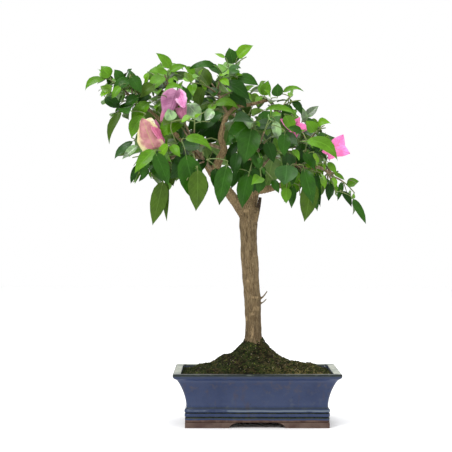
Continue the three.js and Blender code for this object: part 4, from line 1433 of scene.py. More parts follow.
# %% Rough wood before it is melted together
FLARE = 7
FLARE_FOOT = 138
FLARE_HEIGHT = 9
FORK_SWELL, FORK_ZONE = 1.5, (345, 384)
WOOD_STEP, FEWEST_STEPS = 6, 4
WOOD_SIDES = 20
VOXEL = 1.1
COLLAR_LENGTH = 22
COLLARS = {"bough_left": 3.5, "leader": 0.5, "bough_rising": 2.5, "bough_left_out": 2, "bough_right": 2.5,
           "snag": 1}
FORK = {
    "bough_left": "-13,0,370 -31.5,-5,395 -59,-20,431 -83,-36,458",
    "leader": "-12,0,376 -8,3,405 -4,8,430 -8,18,470 -16,14,518",
}
CROTCH_ENDS = Vector((-14.6, 0, 388)), Vector((-12.5, 0, 410))
CROTCH_RADIUS = 16.2
CROTCH_SHARES = (0, 0.35, 0.6, 0.8, 0.93, 0.99)
BARK_NODES = [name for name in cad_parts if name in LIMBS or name.startswith("bough_to_")]


def wood_radius(name, radii, share, z, gone):
    """Radius of a limb. The trunk flares at its foot, and a limb swells where it leaves its parent."""
    radius = between(*radii, share)
    if name == "trunk":
        radius += FLARE * math.exp(-max(0, z - FLARE_FOOT) / FLARE_HEIGHT)
        radius += FORK_SWELL * float(smooth_step(z, *FORK_ZONE))
    return radius + COLLARS.get(name, 0) * math.exp(-gone / COLLAR_LENGTH)


skeleton_lines, wood_spots = [], []
for number, (name, line, ends) in enumerate(WOODEN):
    if name in FORK:
        line = line_through(places_of(FORK[name]))
    steps = max(FEWEST_STEPS, round(line.length / WOOD_STEP))
    spots = [line.at_length(k / steps) for k in range(steps + 1)]
    gone = [k / steps * line.length for k in range(steps + 1)]
    radii = [wood_radius(name, ends, k / steps, spot.z, gone[k]) for k, spot in enumerate(spots)]
    skeleton_lines.append((spots, radii))
    wood_spots += [(*spot, radius, number, far) for spot, radius, far in zip(spots, radii, gone)]
crotch = [between(*CROTCH_ENDS, share) for share in CROTCH_SHARES]
skeleton_lines.append((crotch, [CROTCH_RADIUS * math.sqrt(1 - share * share) for share in CROTCH_SHARES]))
bark = tubes("bark", skeleton_lines, BROWN_WOOD, WOOD_SIDES, BARK_NODES)
melt = bark.modifiers.new("melt", "REMESH")
melt.mode = "VOXEL"
melt.voxel_size = VOXEL * MM
melt.use_smooth_shade = True
soften = bark.modifiers.new("smooth", "SMOOTH")
soften.factor = 0.6
soften.iterations = 9
bark.data = plain_mesh(bark, keep_layers=False)
print("bark points:", len(bark.data.vertices))

# %% [markdown]
# Each point of the skin now finds its limb, how far along it is and which way round. With those
# three the noise can be stretched along the limb, and the finish can be drawn the same way, since
# the straightened place is kept on the mesh for the material to read.

# %% Relief of the bark
RELIEF = [
    # depth in millimetres, and how fine across and along the limb: ridges, wrinkles, lumps
    (1.5, 0.16, 0.02), (0.8, 0.55, 0.07), (1.3, 0.05, 0.035),
]
FULL_RELIEF_RADIUS = 11
LIMB_SHIFT = (3, 90)
NEAREST_SPOTS = 6
TRUNK, SNAG = list(LIMBS).index("trunk"), list(LIMBS).index("snag")
DEAD_ZONE, DEAD_RAGGED, DEAD_NOISE = (17, 27), 9, 0.22
SCAR_RAGGED, SCAR_NOISE, SCAR_EDGE, SCAR_SOFT = 0.6, 0.35, 1.25, 0.6
SCARS = [
    # middle, and half width and height, on the front of the trunk
    (-2, 229, 9, 2), (0, 209, 6, 5), (-8, 199, 5, 2.5), (-19, 190, 3, 4), (-8, 166, 3, 11),
    (-16, 258, 2.5, 3), (-3, 304, 3, 2), (-20, 386, 6, 3),
]
spots = np.array(wood_spots)
wood_tree = KDTree(len(spots))
for k, spot in enumerate(spots):
    wood_tree.insert(spot[:3], k)
wood_tree.balance()
places = (read(bark.data.vertices, "co", 3) - np.array(HOME)) / MM
normals = read(bark.data.vertices, "normal", 3)
straight = np.zeros((len(places), 3), np.float32)
dead, scar = np.zeros(len(places), np.float32), np.zeros(len(places), np.float32)
moved = places.copy()
for k, place in enumerate(places):
    _, nearest, _ = min(wood_tree.find_n(place, NEAREST_SPOTS), key=lambda hit: hit[2] - spots[hit[1]][3])
    *middle, radius, number, gone = spots[nearest]
    off = place - middle
    run = place[2] if number == TRUNK else gone + off[2] * 0.3
    here = (off[0] + LIMB_SHIFT[0] * number, off[1], run + LIMB_SHIFT[1] * number)
    straight[k] = here
    if number == SNAG:
        ragged = gone + DEAD_RAGGED * noise.noise(Vector(place) * DEAD_NOISE)
        dead[k] = float(smooth_step(ragged, *DEAD_ZONE))
    if number == TRUNK and normals[k][1] < 0:
        apart = min(math.hypot((place[0] - x) / wide, (place[2] - z) / tall) for x, z, wide, tall in SCARS)
        apart += SCAR_RAGGED * noise.noise(Vector(place) * SCAR_NOISE)
        scar[k] = float(smooth_step(SCAR_EDGE - apart, 0, SCAR_SOFT))
    relief = sum(size * noise.noise(Vector((here[0] * across, here[1] * across, here[2] * along)))
                 for size, across, along in RELIEF)
    moved[k] += normals[k] * min(1.0, radius / FULL_RELIEF_RADIUS) * relief
bark.data.vertices.foreach_set("co", in_metres(moved).astype(np.float32).ravel())
mark(bark.data, "bark_place", "FLOAT_VECTOR", "POINT", straight)
mark(bark.data, "scar", "FLOAT", "POINT", scar)
mark(bark.data, "dead_wood", "FLOAT", "POINT", dead)
smooth(bark.data)
print("bark moved by up to, mm:", round(float(abs(moved - places).max()), 2))

# %% [markdown]
# The bark's colours lie over each other: brown furrows, bleached streaks, wood darker towards the
# foot, painted light on the boughs above the fork, cross marks, worn scars, and the snag's dead wood.
# The noises are drawn on the straightened place, so they run along each limb.

# %% Bark finish
def bark_finish():
    """Pale tan bark, brown in its furrows, with small cross marks."""
    finish = Recipe("bark", 0.85, Specular_IOR_Level=0.2)
    drawn = finish.attribute("bark_place", "Vector")
    furrows = finish.noise(0.58, 5, 0.68, (1, 1, 0.07), drawn)
    streaks = finish.noise(1.4, 4, 0.65, (1, 1, 0.09), drawn)
    patches = finish.noise(0.07, 3, 0.5, None, drawn)
    specks = finish.noise(0.9, 2, 0.5, (1, 1, 2.2), drawn)
    height = finish.split(finish.place())["Z"]
    tan = finish.blend(patches, 0.35, 0.65, (0.13, 0.086, 0.04), (0.195, 0.138, 0.07))
    # painted light: the streaks on the boughs above the fork are made lighter
    upper_painted_light = finish.times(finish.step(height, 0.375, 0.44), finish.step(streaks, 0.4, 0.6))
    worn = finish.times(finish.attribute("scar"), finish.step(streaks, 0.38, 0.64))
    finish.relief(finish.plus(furrows, finish.times(streaks, 0.5)), 0.0016, 0.9)
    return finish.coloured(finish.layered(
        tan,
        (finish.step(furrows, 0.54, 0.39), (0.044, 0.028, 0.013), 1),
        (finish.step(streaks, 0.48, 0.64), (0.335, 0.255, 0.145), 0.7),
        (finish.step(height, 0.3, 0.17), (0.06, 0.04, 0.02), 0.38),
        (upper_painted_light, (0.37, 0.265, 0.13), 0.75),
        (finish.step(specks, 0.66, 0.74), (0.04, 0.024, 0.014), 0.3),
        (worn, (0.36, 0.26, 0.14), 1),
        (finish.attribute("dead_wood"), (0.034, 0.022, 0.013), 1),
    ))


bark.data.materials.clear()
bark.data.materials.append(bark_finish())
print("bark's finish:", bark.data.materials[0].name)

# %% [markdown]
# The glaze is dark blue and mottled. It turns green in grooves and on edges, and stops above the
# foot band of bare clay. Each of these is a soft band at a height, and a broad noise lets most of
# them wander a little, as a brushed glaze does. Three bands are painted light and shade: a highlight
# along the upper bead, lighter blue on the neck under the lip, and a darker band on the lip's face.
# The rim's top is pale from worn, thin glaze and from a painted reflection of the bright room.

# %% Glaze, lip and rim finishes
def glaze_finish():
    """Mottled blue glaze, thin and green on edges and in grooves, over bare brown clay at the foot."""
    glaze = Recipe("pot_glaze", 0.22, Specular_IOR_Level=0.34)
    height = glaze.split(glaze.place())["Z"]
    broad = glaze.noise(14, 4, 0.6)
    fine = glaze.noise(85, 5, 0.65)
    specks = glaze.noise(320, 3, 0.6)
    runs = glaze.noise(60, 4, 0.6, stretch=(1, 1, 0.25))
    level = glaze.plus(height, glaze.times(glaze.minus(broad, 0.5), 0.004))
    blue = glaze.blend(broad, 0.35, 0.65, (0.01, 0.022, 0.07), (0.02, 0.034, 0.088))
    green = glaze.blend(fine, 0.4, 0.6, (0.008, 0.014, 0.01), (0.02, 0.026, 0.014))
    clay = glaze.blend(fine, 0.4, 0.6, (0.05, 0.022, 0.014), (0.095, 0.055, 0.04))
    flecks = glaze.times(glaze.band(level, (0.058, 0.068), (0.084, 0.09)), glaze.step(fine, 0.48, 0.68))
    # a painted highlight along the upper bead, broken up by the broad noise
    painted_bead_highlight = glaze.times(glaze.band(level, (0.0285, 0.03), (0.0315, 0.0328)), glaze.step(broad, 0.42, 0.56))
    bare = glaze.step(level, 0.0146, 0.0134)
    glaze.feed(glaze.shader.inputs["Roughness"], glaze.plus(glaze.times(bare, 0.55), 0.2))
    glaze.relief(glaze.plus(fine, glaze.times(broad, 1.5)), 0.0006, 0.35)
    return glaze.coloured(glaze.layered(
        blue,
        (glaze.step(fine, 0.52, 0.72), (0.044, 0.054, 0.084), 0.5),
        (glaze.step(runs, 0.58, 0.75), (0.045, 0.03, 0.03), 0.45),
        (glaze.step(specks, 0.62, 0.72), (0.008, 0.014, 0.024), 0.5),
        (glaze.band(level, (0.016, 0.0172), (0.0194, 0.0206)), green, 1),
        (glaze.band(level, (0.0249, 0.0261), (0.027, 0.0282)), green, 1),
        (glaze.band(level, (0.0329, 0.0341), (0.0364, 0.0376)), green, 0.55),
        (flecks, (0.046, 0.036, 0.046), 0.45),
        # painted light: lighter blue on the neck under the lip, where it faces down
        (glaze.band(height, (0.08, 0.085), (0.0885, 0.0905)), (0.036, 0.052, 0.112), 0.6),
        (painted_bead_highlight, (0.16, 0.2, 0.23), 0.6),
        (glaze.band(height, (0.092, 0.0935), (0.096, 0.097)), green, 0.85),
        # painted shade: a darker band on the lip's rounded face, damping its reflection of the bright room
        (glaze.band(level, (0.089, 0.0905), (0.0925, 0.0945)), (0.01, 0.02, 0.05), 0.5),
        (bare, clay, 1),
    ))


def lip_finish():
    """The lip's edge, where the glaze has run off the dark clay, with a few lighter spots."""
    lip = Recipe("lip_edge", 0.45, Specular_IOR_Level=0.15)
    dark, light = (0.009, 0.014, 0.013), (0.06, 0.07, 0.06)
    return lip.coloured(lip.blend(lip.noise(90, 4, 0.6), 0.5, 0.72, dark, light))


def rim_finish():
    """The flat rim, where the glaze is thin, pale and worn, with a painted reflection of the bright room."""
    rim = Recipe("rim_top", 0.6, Specular_IOR_Level=0.1)
    # the pale colours are partly worn glaze and partly a painted reflection of the bright room
    pale = rim.blend(rim.noise(30, 4, 0.6), 0.4, 0.6, (0.42, 0.43, 0.37), (0.26, 0.28, 0.25))
    specks = rim.step(rim.noise(140, 4, 0.6), 0.5, 0.68)
    return rim.coloured(rim.layered(pale, (specks, (0.15, 0.18, 0.15), 0.6)))


POT_FINISHES = [glaze_finish(), lip_finish(), rim_finish()]
GLAZE_INDEX, LIP_INDEX, RIM_INDEX = range(3)
print("pot's finishes:", [finish.name for finish in POT_FINISHES])

# %% [markdown]
# The pot is a long, low box of glazed stoneware, swept from one profile: a bare foot band, a belt
# between two grooves, a hollow neck and a lip that turns out. It is a loft of rounded rectangles.
# A little waviness keeps it from looking machined.

# %% The pot
RIM_HALF = 150
RIM_HALF_DEPTH = 105
DEPTH_LESS = RIM_HALF - RIM_HALF_DEPTH
LIP_EDGE, LIP_WIDTH, FRONT_WIDTH, RIM_TOP = 94, 2, 14, 96.4
CORNER = 6
WAVINESS, WAVE_SCALE = 0.35, 0.02
CRISP_ANGLE = 50
# Height and half length, from the foot band up and over the lip.
PROFILE = places_of(
    "10,127.6 10.6,128.5 14,128.7 17.8,128.8 18.6,128.3 19.2,127.2 20,128.6 21,129.3 25,129.3 26,128.5 "
    "26.9,127.2 27.6,128.6 28.6,129.4 31.5,129.5 33,129.0 34.4,127.4 36.5,126.2 43,126.5 51,127.8 "
    "58.5,129.7 66,132.2 73,135.2 80,138.7 85.4,142.2 87.2,144.6 88.8,147.4 90.6,149.2 92.8,149.9 "
    "95.0,149.9 96.3,149.2 96.9,148.2 97,147.2")
INSIDE = places_of("97,138.0 96.8,137.0 96.0,136.1 92,135.4 80,131.6 60,126.0 40,120.4")


def rounded_ring(z, half, corner_steps=6, side_steps=14):
    """Places round a rectangle with rounded corners, starting on its right side."""
    def on_corner(quarter, share):
        angle = (quarter + share) * math.pi / 2
        x = (half - CORNER) * (1 if quarter in (0, 3) else -1) + CORNER * math.cos(angle)
        y = (half - DEPTH_LESS - CORNER) * (1 if quarter < 2 else -1) + CORNER * math.sin(angle)
        return x, y, z

    ring = []
    for quarter in range(4):
        ring += [on_corner(quarter, step / corner_steps) for step in range(corner_steps + 1)]
        start, end = Vector(ring[-1]), Vector(on_corner((quarter + 1) % 4, 0))
        ring += [tuple(start.lerp(end, k / side_steps)) for k in range(1, side_steps)]
    return ring


def loft(rings):
    """Faces between rings of equal count, closed at both ends."""
    count = len(rings[0])
    faces = []
    for r in range(len(rings) - 1):
        for k in range(count):
            here, after = r * count + k, r * count + (k + 1) % count
            faces.append([here, after, after + count, here + count])
    faces.append([count - 1 - k for k in range(count)])
    faces.append([(len(rings) - 1) * count + k for k in range(count)])
    return faces


pot_rings = [rounded_ring(z, half) for z, half in PROFILE + INSIDE]
pot_places = np.array(pot_rings).reshape(-1, 3)
for place in pot_places:
    off = Vector((place[0] / RIM_HALF, place[1] / RIM_HALF_DEPTH, 0)).normalized()
    place[:2] -= abs(noise.noise(Vector(place) * WAVE_SCALE) * WAVINESS) * np.array(off[:2])
pot_faces = loft(pot_rings)
middles = np.array([pot_places[face].mean(axis=0) for face in pot_faces])
from_edge = np.minimum(RIM_HALF - abs(middles[:, 0]), RIM_HALF_DEPTH - abs(middles[:, 1]))
on_lip = (from_edge < LIP_WIDTH) | (middles[:, 1] < FRONT_WIDTH - RIM_HALF_DEPTH)
pot_finish = np.where(middles[:, 2] > RIM_TOP, RIM_INDEX, GLAZE_INDEX)
pot_finish[(middles[:, 2] > LIP_EDGE) & on_lip] = LIP_INDEX
pot = show("glazed_pot", pot_places, pot_faces, POT_FINISHES, ["pot"], pot_finish)
pot.data.set_sharp_from_angle(angle=math.radians(CRISP_ANGLE))
print("pot rings:", len(pot_rings), "places in each:", len(pot_rings[0]))

# %% [markdown]
# The feet are part of the pot's clay and left bare. Their solids have the right shape, so they
# stay as they are and only get the finish of brown, sandy stoneware.

# %% Bare clay of the feet
def clay_finish():
    """Brown stoneware with sandy grains."""
    clay = Recipe("foot_clay", 0.8)
    grains = clay.noise(700, 3)
    brown = clay.blend(clay.noise(40, 4), 0.35, 0.65, (0.055, 0.026, 0.018), (0.1, 0.062, 0.046))
    clay.relief(grains, 0.0005, 0.6)
    return clay.coloured(clay.layered(brown, (clay.step(grains, 0.6, 0.7), (0.03, 0.016, 0.013), 0.6)))


CLAY = clay_finish()
feet_solids = [node for name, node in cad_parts.items() if name.startswith("foot_")]
for node in feet_solids:
    node.data.materials.clear()
    node.data.materials.append(CLAY)
print("feet finished:", len(feet_solids))

# %% [markdown]
# The soil is a mound that falls to the pot's wall, grown over with moss. Its height is the same
# formula as in the solids, with smaller lumps and crumbs on top. It is a closed cake with a flat
# underside, so it has no open edge anywhere.

# %% The soil
SOIL_EDGE = 91
SOIL_BOTTOM = 60
SOIL_FOOT_SHARE = 0.9
SOIL_HALF = 134.6
SOIL_HALF_DEPTH = SOIL_HALF - DEPTH_LESS
SOIL_CORNER = 5
CELLS_X, CELLS_Y = 168, 112
EDGE_SLOPE, EDGE_ROUGH = 34, 10
LUMP_HEIGHT, LUMP_SCALE = 1.7, 0.09
CRUMB_HEIGHT, CRUMB_SCALE = 0.9, 0.55
HUMPS = ((-60, 16, 40), (104, 22, 60))
HUMP_HEIGHT = 4


def grid_faces(rows, columns):
    """The faces of a grid with so many rows and columns of cells."""
    wide = columns + 1
    return [[r * wide + c, r * wide + c + 1, (r + 1) * wide + c + 1, (r + 1) * wide + c]
            for r in range(rows) for c in range(columns)]


def grid_border(rows, columns):
    """The places round a grid, in turn."""
    wide = columns + 1
    border = list(range(wide)) + [r * wide + columns for r in range(1, rows + 1)]
    border += [rows * wide + c for c in range(columns - 1, -1, -1)]
    return border + [r * wide for r in range(rows - 1, 0, -1)]


def to_edge(x, y):
    """How far places on the soil are from its edge."""
    return np.minimum(SOIL_HALF - abs(x), SOIL_HALF_DEPTH - abs(y))


def soil_height(x, y):
    """Height of the mound, as in the solids, with two low humps of moss."""
    mound = 75 / (1 + (np.hypot(x + 5, 1.2 * y) / 38) ** 1.7)
    broad = np.sin(x / 13 + 1) * np.cos(1.2 * y / 13)
    small = np.sin((2.4 * x + 1.9 * y) / 13)
    humps = sum(HUMP_HEIGHT * np.exp(-((x - middle) / wide) ** 2 - (y / deep) ** 2)
                for middle, wide, deep in HUMPS)
    lumps = 1.6 * (broad + 0.6 * small)
    return SOIL_EDGE + (mound + humps + lumps) * smooth_step(to_edge(x, y), 0, EDGE_SLOPE)


def rounded_corner(x, y):
    """Pulls places near the corners of the soil's rectangle onto its rounded corners."""
    straight_x, straight_y = SOIL_HALF - SOIL_CORNER, SOIL_HALF_DEPTH - SOIL_CORNER
    over_x, over_y = np.maximum(abs(x) - straight_x, 0), np.maximum(abs(y) - straight_y, 0)
    longest = np.maximum(over_x, over_y)
    shrink = np.where(longest > 0, longest / np.maximum(np.hypot(over_x, over_y), 1e-9), 1)
    return (np.sign(x) * (np.minimum(abs(x), straight_x) + over_x * shrink),
            np.sign(y) * (np.minimum(abs(y), straight_y) + over_y * shrink))


def soil_finish():
    """Dark soil under moss, olive to bright green in patches."""
    finish = Recipe("mossy_soil", 0.95, Specular_IOR_Level=0.1)
    patches = finish.noise(22, 5, 0.65)
    clumps = finish.noise(120, 5, 0.7)
    grains = finish.noise(520, 4, 0.7)
    ground = finish.blend(clumps, 0.42, 0.62, (0.006, 0.005, 0.002), (0.038, 0.03, 0.012))
    moss = finish.blend(grains, 0.42, 0.62, (0.01, 0.015, 0.004), (0.042, 0.05, 0.014))
    dry = finish.blend(clumps, 0.42, 0.6, (0.03, 0.024, 0.007), (0.15, 0.12, 0.045))
    worn = finish.plus(finish.split(finish.place())["X"], finish.times(patches, 0.16))
    finish.relief(finish.plus(clumps, finish.times(grains, 0.6)), 0.0025, 0.9)
    return finish.coloured(finish.layered(
        finish.blend(patches, 0.44, 0.56, ground, moss),
        (finish.step(worn, 0.13, 0.22), dry, 0.8),
        (finish.step(grains, 0.66, 0.72), (0.26, 0.23, 0.13), 0.7),
    ))


grid_x, grid_y = np.meshgrid(np.linspace(-1, 1, CELLS_X + 1), np.linspace(-1, 1, CELLS_Y + 1))
soil_x, soil_y = rounded_corner(grid_x.ravel() * SOIL_HALF, grid_y.ravel() * SOIL_HALF_DEPTH)
soil_z = soil_height(soil_x, soil_y)
for k, rough in enumerate(smooth_step(to_edge(soil_x, soil_y), 0, EDGE_ROUGH)):
    spot = Vector((soil_x[k], soil_y[k], 0))
    lump = noise.fractal(spot * LUMP_SCALE, 0.9, 2.1, 4)
    crumb = noise.noise(spot * CRUMB_SCALE)
    soil_z[k] += rough * (LUMP_HEIGHT * lump + CRUMB_HEIGHT * crumb)
soil_places = np.stack([soil_x, soil_y, soil_z], axis=1).tolist()
soil_faces = grid_faces(CELLS_Y, CELLS_X)
border = grid_border(CELLS_Y, CELLS_X)
low = len(soil_places)
soil_places += [(soil_x[k] * SOIL_FOOT_SHARE, soil_y[k] * SOIL_FOOT_SHARE, SOIL_BOTTOM) for k in border]
for k, here in enumerate(border):
    after = (k + 1) % len(border)
    soil_faces.append([border[after], here, low + k, low + after])
soil_faces.append([low + k for k in range(len(border) - 1, -1, -1)])
soil = show("mossy_soil", soil_places, soil_faces, [soil_finish()], ["soil_mound"])
print("soil faces:", len(soil_faces))

# %% [markdown]
# Moss stands up from the soil in small cushions, and crumbs of bark and grit lie between them.
# Both are scattered with Geometry Nodes: points on the soil's surface, a small shape on each,
# turned and sized at random with a fixed seed, then realized and turned to a plain mesh.

# %% Moss and crumbs
def plain_finish(name, low, high):
    """A matt finish between two colours."""
    finish = Recipe(name, 0.9, Specular_IOR_Level=0.1)
    patch = finish.noise(150, 3)
    finish.relief(patch, 0.0004, 0.5)
    return finish.coloured(finish.blend(patch, 0.38, 0.62, low, high))


def lump_shape(name, spikes, height, seed):
    """A small closed lump: a coarse ball of 20 faces whose points are pushed out by chance."""
    dice = np.random.default_rng(seed)
    bpy.ops.mesh.primitive_ico_sphere_add(subdivisions=1, radius=1)
    shape = bpy.context.active_object
    shape.name = name
    for vertex in shape.data.vertices:
        vertex.co = vertex.co * float(dice.uniform(1 - spikes, 1 + spikes))
        vertex.co.z *= height
    return shape


def scatter_tree(name, shape, finish):
    """A node tree that strews a shape over the upper faces of a surface."""
    tree, given, identifiers = new_tree(name, Density="Float", Smallest="Float", Largest="Float", Seed="Int")
    points, normal, split, upper, source, size, turn, place = new_nodes(
        tree, "GeometryNodeDistributePointsOnFaces", "GeometryNodeInputNormal", "ShaderNodeSeparateXYZ",
        "FunctionNodeCompare", "GeometryNodeObjectInfo", "FunctionNodeRandomValue", "FunctionNodeRandomValue",
        "GeometryNodeInstanceOnPoints")
    upper.data_type = "FLOAT"
    upper.operation = "GREATER_THAN"
    upper.inputs[1].default_value = 0.5
    source.inputs["Object"].default_value = shape
    turn.data_type = "FLOAT_VECTOR"
    socket_of(turn.inputs, "Max").default_value = (0.5, 0.5, 6.28)
    wire(tree, (given["Geometry"], points.inputs["Mesh"]),
         (given["Density"], points.inputs["Density"]),
         (given["Seed"], points.inputs["Seed"]),
         (normal.outputs["Normal"], split.inputs["Vector"]),
         (split.outputs["Z"], upper.inputs[0]),
         (upper.outputs["Result"], points.inputs["Selection"]),
         (points.outputs["Points"], place.inputs["Points"]),
         (source.outputs["Geometry"], place.inputs["Instance"]),
         (socket_of(turn.outputs, "Value"), place.inputs["Rotation"]),
         (given["Smallest"], socket_of(size.inputs, "Min_001")),
         (given["Largest"], socket_of(size.inputs, "Max_001")),
         (given["Seed"], socket_of(size.inputs, "Seed")),
         (socket_of(size.outputs, "Value_001"), place.inputs["Scale"]))
    end_tree(tree, place.outputs["Instances"], finish)
    return tree, identifiers


SCATTERED = {
    # two colours, spikes, flatness, how many to the square metre, smallest and largest in mm, seed
    "moss_dark": ((0.003, 0.006, 0.0015), (0.026, 0.036, 0.008), 0.3, 0.8, 60000, 0.7, 2.1, 3),
    "moss_bright": ((0.035, 0.055, 0.01), (0.12, 0.155, 0.03), 0.35, 0.9, 11000, 0.5, 1.6, 5),
    "soil_crumbs": ((0.01, 0.008, 0.004), (0.105, 0.078, 0.036), 0.4, 0.6, 34000, 0.5, 1.7, 8),
    "pale_grit": ((0.3, 0.27, 0.19), (0.5, 0.46, 0.36), 0.3, 0.6, 3500, 0.4, 0.9, 11),
}
for name, (low, high, spikes, flat, density, smallest, largest, seed) in SCATTERED.items():
    shape = lump_shape(name + "_shape", spikes, flat, seed)
    piece = put(name, soil.data.copy())
    piece.data = baked(piece, *scatter_tree(name + "_tree", shape, plain_finish(name, low, high)),
                       Density=float(density), Smallest=smallest * MM, Largest=largest * MM, Seed=seed)
    settle(piece, [])
    bpy.data.objects.remove(shape)
    print(name, "faces:", len(piece.data.polygons))

# %% [markdown]
# Bougainvillea blossom is mostly bracts: three papery leaves round tiny flowers, joined at their
# feet. A fresh set opens like a star, an older one stays closed like a lantern. Each bract is a
# veined sheet with a thickness of its own, worked out from its height and its place across.

# %% Blossom
BRACT_ROWS, BRACT_COLUMNS = 16, 12
BRACT_THICKNESS = 0.4
BRACT_STATIONS = (0, 0.1, 0.25, 0.45, 0.65, 0.82, 0.93, 1)
BRACT_WIDTHS = (0.5, 0.88, 1.0, 0.98, 0.86, 0.6, 0.32, 0.02)
POINTED_WIDTHS = (0.34, 0.72, 1.0, 0.98, 0.72, 0.4, 0.18, 0.02)
# Finish, foot, tip, depths of both, half widths to the left and right in pixels, face, roll to the
# left and right, crumple in millimetres.
BRACTS_SEEN = """
mauve 177 90.5 169 117 -118 -124 17 5 -0.2 -1 0.1 0.9 1.3 3.0
rose 178 91 184 108 -114 -120 6 7 0.2 -1 0.5 0.6 0.7 4.5
dusky 178 97 184.5 121 -110 -106 7.5 7 0.35 -1 0.0 0.6 0.8 2.0
dusky 172 98 160.5 121.5 -104 -98 4 5 -0.3 -1 0.1 0.6 0.6 1.6
faded 154.5 148.5 142.5 118 -100 -98 15.5 13.5 -0.15 -1 0.1 0.9 0.9 5.5
cream 150 128 151 117.5 -93 -96 7 5 0.1 -1 0.4 0.5 0.6 2.6
dusky 157.5 147.5 155.5 119 -84 -80 6 7.5 0.5 -1 0.1 0.5 1.0 2.2
magenta 154 127 164 145 -101 -96 4 5.5 0.45 -1 0.1 0.5 0.9 2.4
bright 335 150 343.2 134.5 -60 -72 8 8 -0.1 -1 0.15 0.5 0.6 1.4
bright 334 148 350 153.5 -62 -74 7.5 7.5 0.1 -1 -0.1 0.5 0.5 1.4
bright 337 148 322 152 -52 -58 8 8 -0.1 -1 -0.1 0.5 0.6 1.4
bright 336 149 328 159.5 -56 -60 6 6 -0.1 -1 -0.1 0.5 0.6 1.4
bright 294 128 310 128 -26 -34 6 6 0 -1 0.3 0.5 0.5 1.5
bright 294 128 280 119 -26 -32 5 5 0 -1 0.3 0.5 0.5 1.5
bright 294 127 293 141 -24 -30 5 6 0 -1 0.1 0.5 0.5 1.5
bright 294 127 300 117 -22 -26 4 4 0 -1 0.3 0.5 0.5 1.5
"""
COLUMNS_END = (2, 4, 6, 8, 11, 13)


def bract_places(finish, numbers, seed):
    """One bract as a closed sheet of two layers, with the foot's lobes behind its stalk like a heart."""
    foot, tip, depths, halves, face, rolls, (crumple,) = np.split(numbers, COLUMNS_END)
    root, end = seen(*foot, depths[0]), seen(*tip, depths[1])
    scale = (depths[0] - EYE.y) / FOCAL_PIXELS
    along = (end - root).normalized()
    normal = Vector(face)
    normal = (normal - along * normal.dot(along)).normalized()
    across = along.cross(normal)
    if across.x < 0:
        across = -across
    length = (end - root).length
    widths = POINTED_WIDTHS if finish == "bright" else BRACT_WIDTHS
    top, under = [], []
    for j in range(BRACT_ROWS + 1):
        share = j / BRACT_ROWS
        width = float(np.interp(share, BRACT_STATIONS, widths))
        for i in range(BRACT_COLUMNS + 1):
            side = 2 * i / BRACT_COLUMNS - 1
            half = halves[0 if side < 0 else 1] * scale * width
            roll = rolls[0 if side < 0 else 1]
            angle = roll * abs(side)
            out = half * math.sin(angle) / roll * (1 if side > 0 else -1)
            back = half * (1 - math.cos(angle)) / roll
            lobe = 0.13 * length * abs(side) ** 1.5 * (1 - share) ** 2
            spot = Vector((share * 3.2 + seed, side * 2.1, seed * 1.7))
            fold = crumple * (noise.noise(spot) + 0.5 * noise.noise(spot * 2.7)) * (0.4 + 0.6 * abs(side))
            pleat = -0.6 * abs(math.sin((share * 5 - abs(side) * 1.6) * math.pi)) ** 3
            belly = 0.1 * length * math.sin(math.pi * share)
            flat = root + along * (share * length - lobe) + across * (out + 0.6 * fold * side)
            lift = belly - back + fold + pleat
            top.append(flat + normal * lift)
            under.append(flat + normal * (lift - BRACT_THICKNESS))
    return top + under


def bract_faces(flip):
    """The faces of a closed sheet of two layers."""
    layer = (BRACT_ROWS + 1) * (BRACT_COLUMNS + 1)
    faces = grid_faces(BRACT_ROWS, BRACT_COLUMNS)
    faces += [[layer + corner for corner in (face[0], *face[:0:-1])] for face in faces]
    border = grid_border(BRACT_ROWS, BRACT_COLUMNS)
    for here, after in zip(border, [*border[1:], border[0]]):
        faces.append([after, here, layer + here, layer + after])
    return [face[::-1] for face in faces] if flip else faces


def bract_finish(name, colour, vein, rim, rim_amount):
    """Papery bract with darker branching veins and a rim that fades."""
    bract = Recipe(name, 0.6)
    crackle = bract.noise(160, 3)
    cloud = bract.noise(70, 4)
    side, lines = veins(bract, ribs=5.5, slope=3.4, midrib=(0.03, 0.005), sharpness=0.9, amount=0.6,
                        waver=bract.times(crackle, 0.7))
    light = tuple(min(1, c * 1.25 + 0.04) for c in colour)
    edge = bract.plus(side, bract.times(bract.minus(cloud, 0.5), 0.35))
    bract.relief(bract.minus(crackle, lines), 0.0006, 0.6)
    return bract.coloured(bract.layered(
        bract.blend(cloud, 0.35, 0.65, colour, light),
        (lines, vein, 0.75),
        (bract.step(edge, 0.26, 0.44), rim, rim_amount),
    ))


BRACT_TINTS = {
    # colour, veins, rim, and how strongly the rim differs
    "mauve": ((0.225, 0.06, 0.145), (0.15, 0.026, 0.09), (0.42, 0.19, 0.31), 0.4),
    "rose": ((0.56, 0.17, 0.38), (0.36, 0.08, 0.24), (0.86, 0.6, 0.76), 0.5),
    "magenta": ((0.42, 0.08, 0.17), (0.3, 0.05, 0.12), (0.56, 0.2, 0.3), 0.5),
    "dusky": ((0.32, 0.085, 0.17), (0.23, 0.045, 0.11), (0.48, 0.2, 0.27), 0.4),
    "faded": ((0.31, 0.112, 0.118), (0.36, 0.26, 0.12), (0.6, 0.55, 0.27), 0.95),
    "cream": ((0.76, 0.6, 0.42), (0.62, 0.36, 0.3), (0.85, 0.76, 0.62), 0.8),
    "bright": ((0.88, 0.15, 0.43), (0.66, 0.18, 0.26), (0.96, 0.3, 0.62), 0.4),
}
BRACT_FINISHES = [bract_finish(f"{name}_bract", *tints) for name, tints in BRACT_TINTS.items()]
bloom_places, bloom_faces, bloom_finish = [], [], []
layer_uv = [(column / BRACT_COLUMNS, row / BRACT_ROWS)
            for row in range(BRACT_ROWS + 1) for column in range(BRACT_COLUMNS + 1)]
row_below = BRACT_COLUMNS + 1
middle = (BRACT_ROWS // 2) * row_below + BRACT_COLUMNS // 2
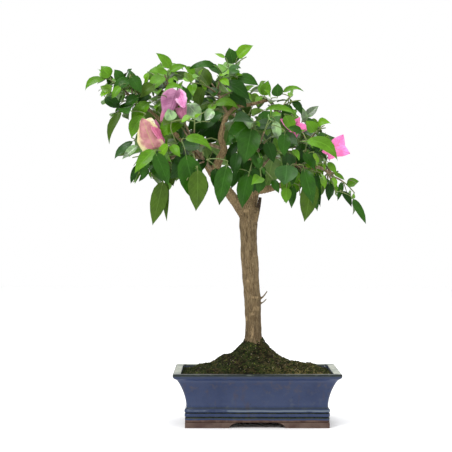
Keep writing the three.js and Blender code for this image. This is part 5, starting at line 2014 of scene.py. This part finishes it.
for number, ((finish,), numbers) in enumerate(rows_of(BRACTS_SEEN)):
    sheet = bract_places(finish, numbers, number + 1)
    front = (sheet[middle + 1] - sheet[middle]).cross(sheet[middle + row_below] - sheet[middle])
    faces = bract_faces(front.dot(Vector(numbers[8:11])) < 0)
    bloom_faces += [[corner + len(bloom_places) for corner in face] for face in faces]
    bloom_places += sheet
    bloom_finish += [list(BRACT_TINTS).index(finish)] * len(faces)
show("blossom", bloom_places, bloom_faces, BRACT_FINISHES, [], bloom_finish,
     layer_uv * 2 * (number + 1))
print("bracts:", number + 1, "faces each:", len(faces))

# %% [markdown]
# A plain pale floor and soft light from large lamps, as in a studio. The floor belongs to the
# stage, not to the plant. The world is nearly white, so the leaves have a bright room to reflect.

# %% Floor and light
FLOOR_HALF = 6000
FLOOR_SHADE = 0.985
LAMPS_AIM = (-40, 0, 380)
LAMPS = {
    # place, size in millimetres, watts
    "key": ((-900, -1500, 1900), 900, 30),
    "fill": ((1500, -1300, 900), 1400, 3),
    "top": ((100, 100, 2100), 1500, 20),
    "back": ((300, 1700, 1300), 1200, 5),
}
floor_mesh = bpy.data.meshes.new("floor")
corners = [(x * FLOOR_HALF, y * FLOOR_HALF, 0) for x, y in ((-1, -1), (1, -1), (1, 1), (-1, 1))]
floor_mesh.from_pydata(in_metres(corners).tolist(), [], [[0, 1, 2, 3]])
floor_mesh.materials.append(Recipe("floor_paint", 0.9, Base_Color=(*[FLOOR_SHADE] * 3, 1)).material)
floor = put("floor", floor_mesh)
floor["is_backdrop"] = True

for name, (place, size, watts) in LAMPS.items():
    lamp_data = bpy.data.lights.new(name, "AREA")
    lamp_data.size = size * MM
    lamp_data.energy = watts
    lamp = put(name, lamp_data)
    lamp.location = Vector(in_metres(place)[0])
    aim = Vector(in_metres(LAMPS_AIM)[0]) - lamp.location
    lamp.rotation_euler = aim.to_track_quat("-Z", "Y").to_euler()

world = bpy.data.worlds.new("studio")
world.use_nodes = True
sky = world.node_tree.nodes["Background"].inputs
sky["Color"].default_value = (1, 1, 1, 1)
sky["Strength"].default_value = 1.0
bpy.context.scene.world = world
bpy.context.scene.view_settings.view_transform = "Standard"
print("lamps:", list(LAMPS))

# %% [markdown]
# The last line gives the boxes round the solids and round the dressed plant.

# %% Sizes, and the end
sizes = {"cad": CAD_BOX, "visual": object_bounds()}
{name: [[float(v) for v in corner] for corner in box] for name, box in sizes.items()}
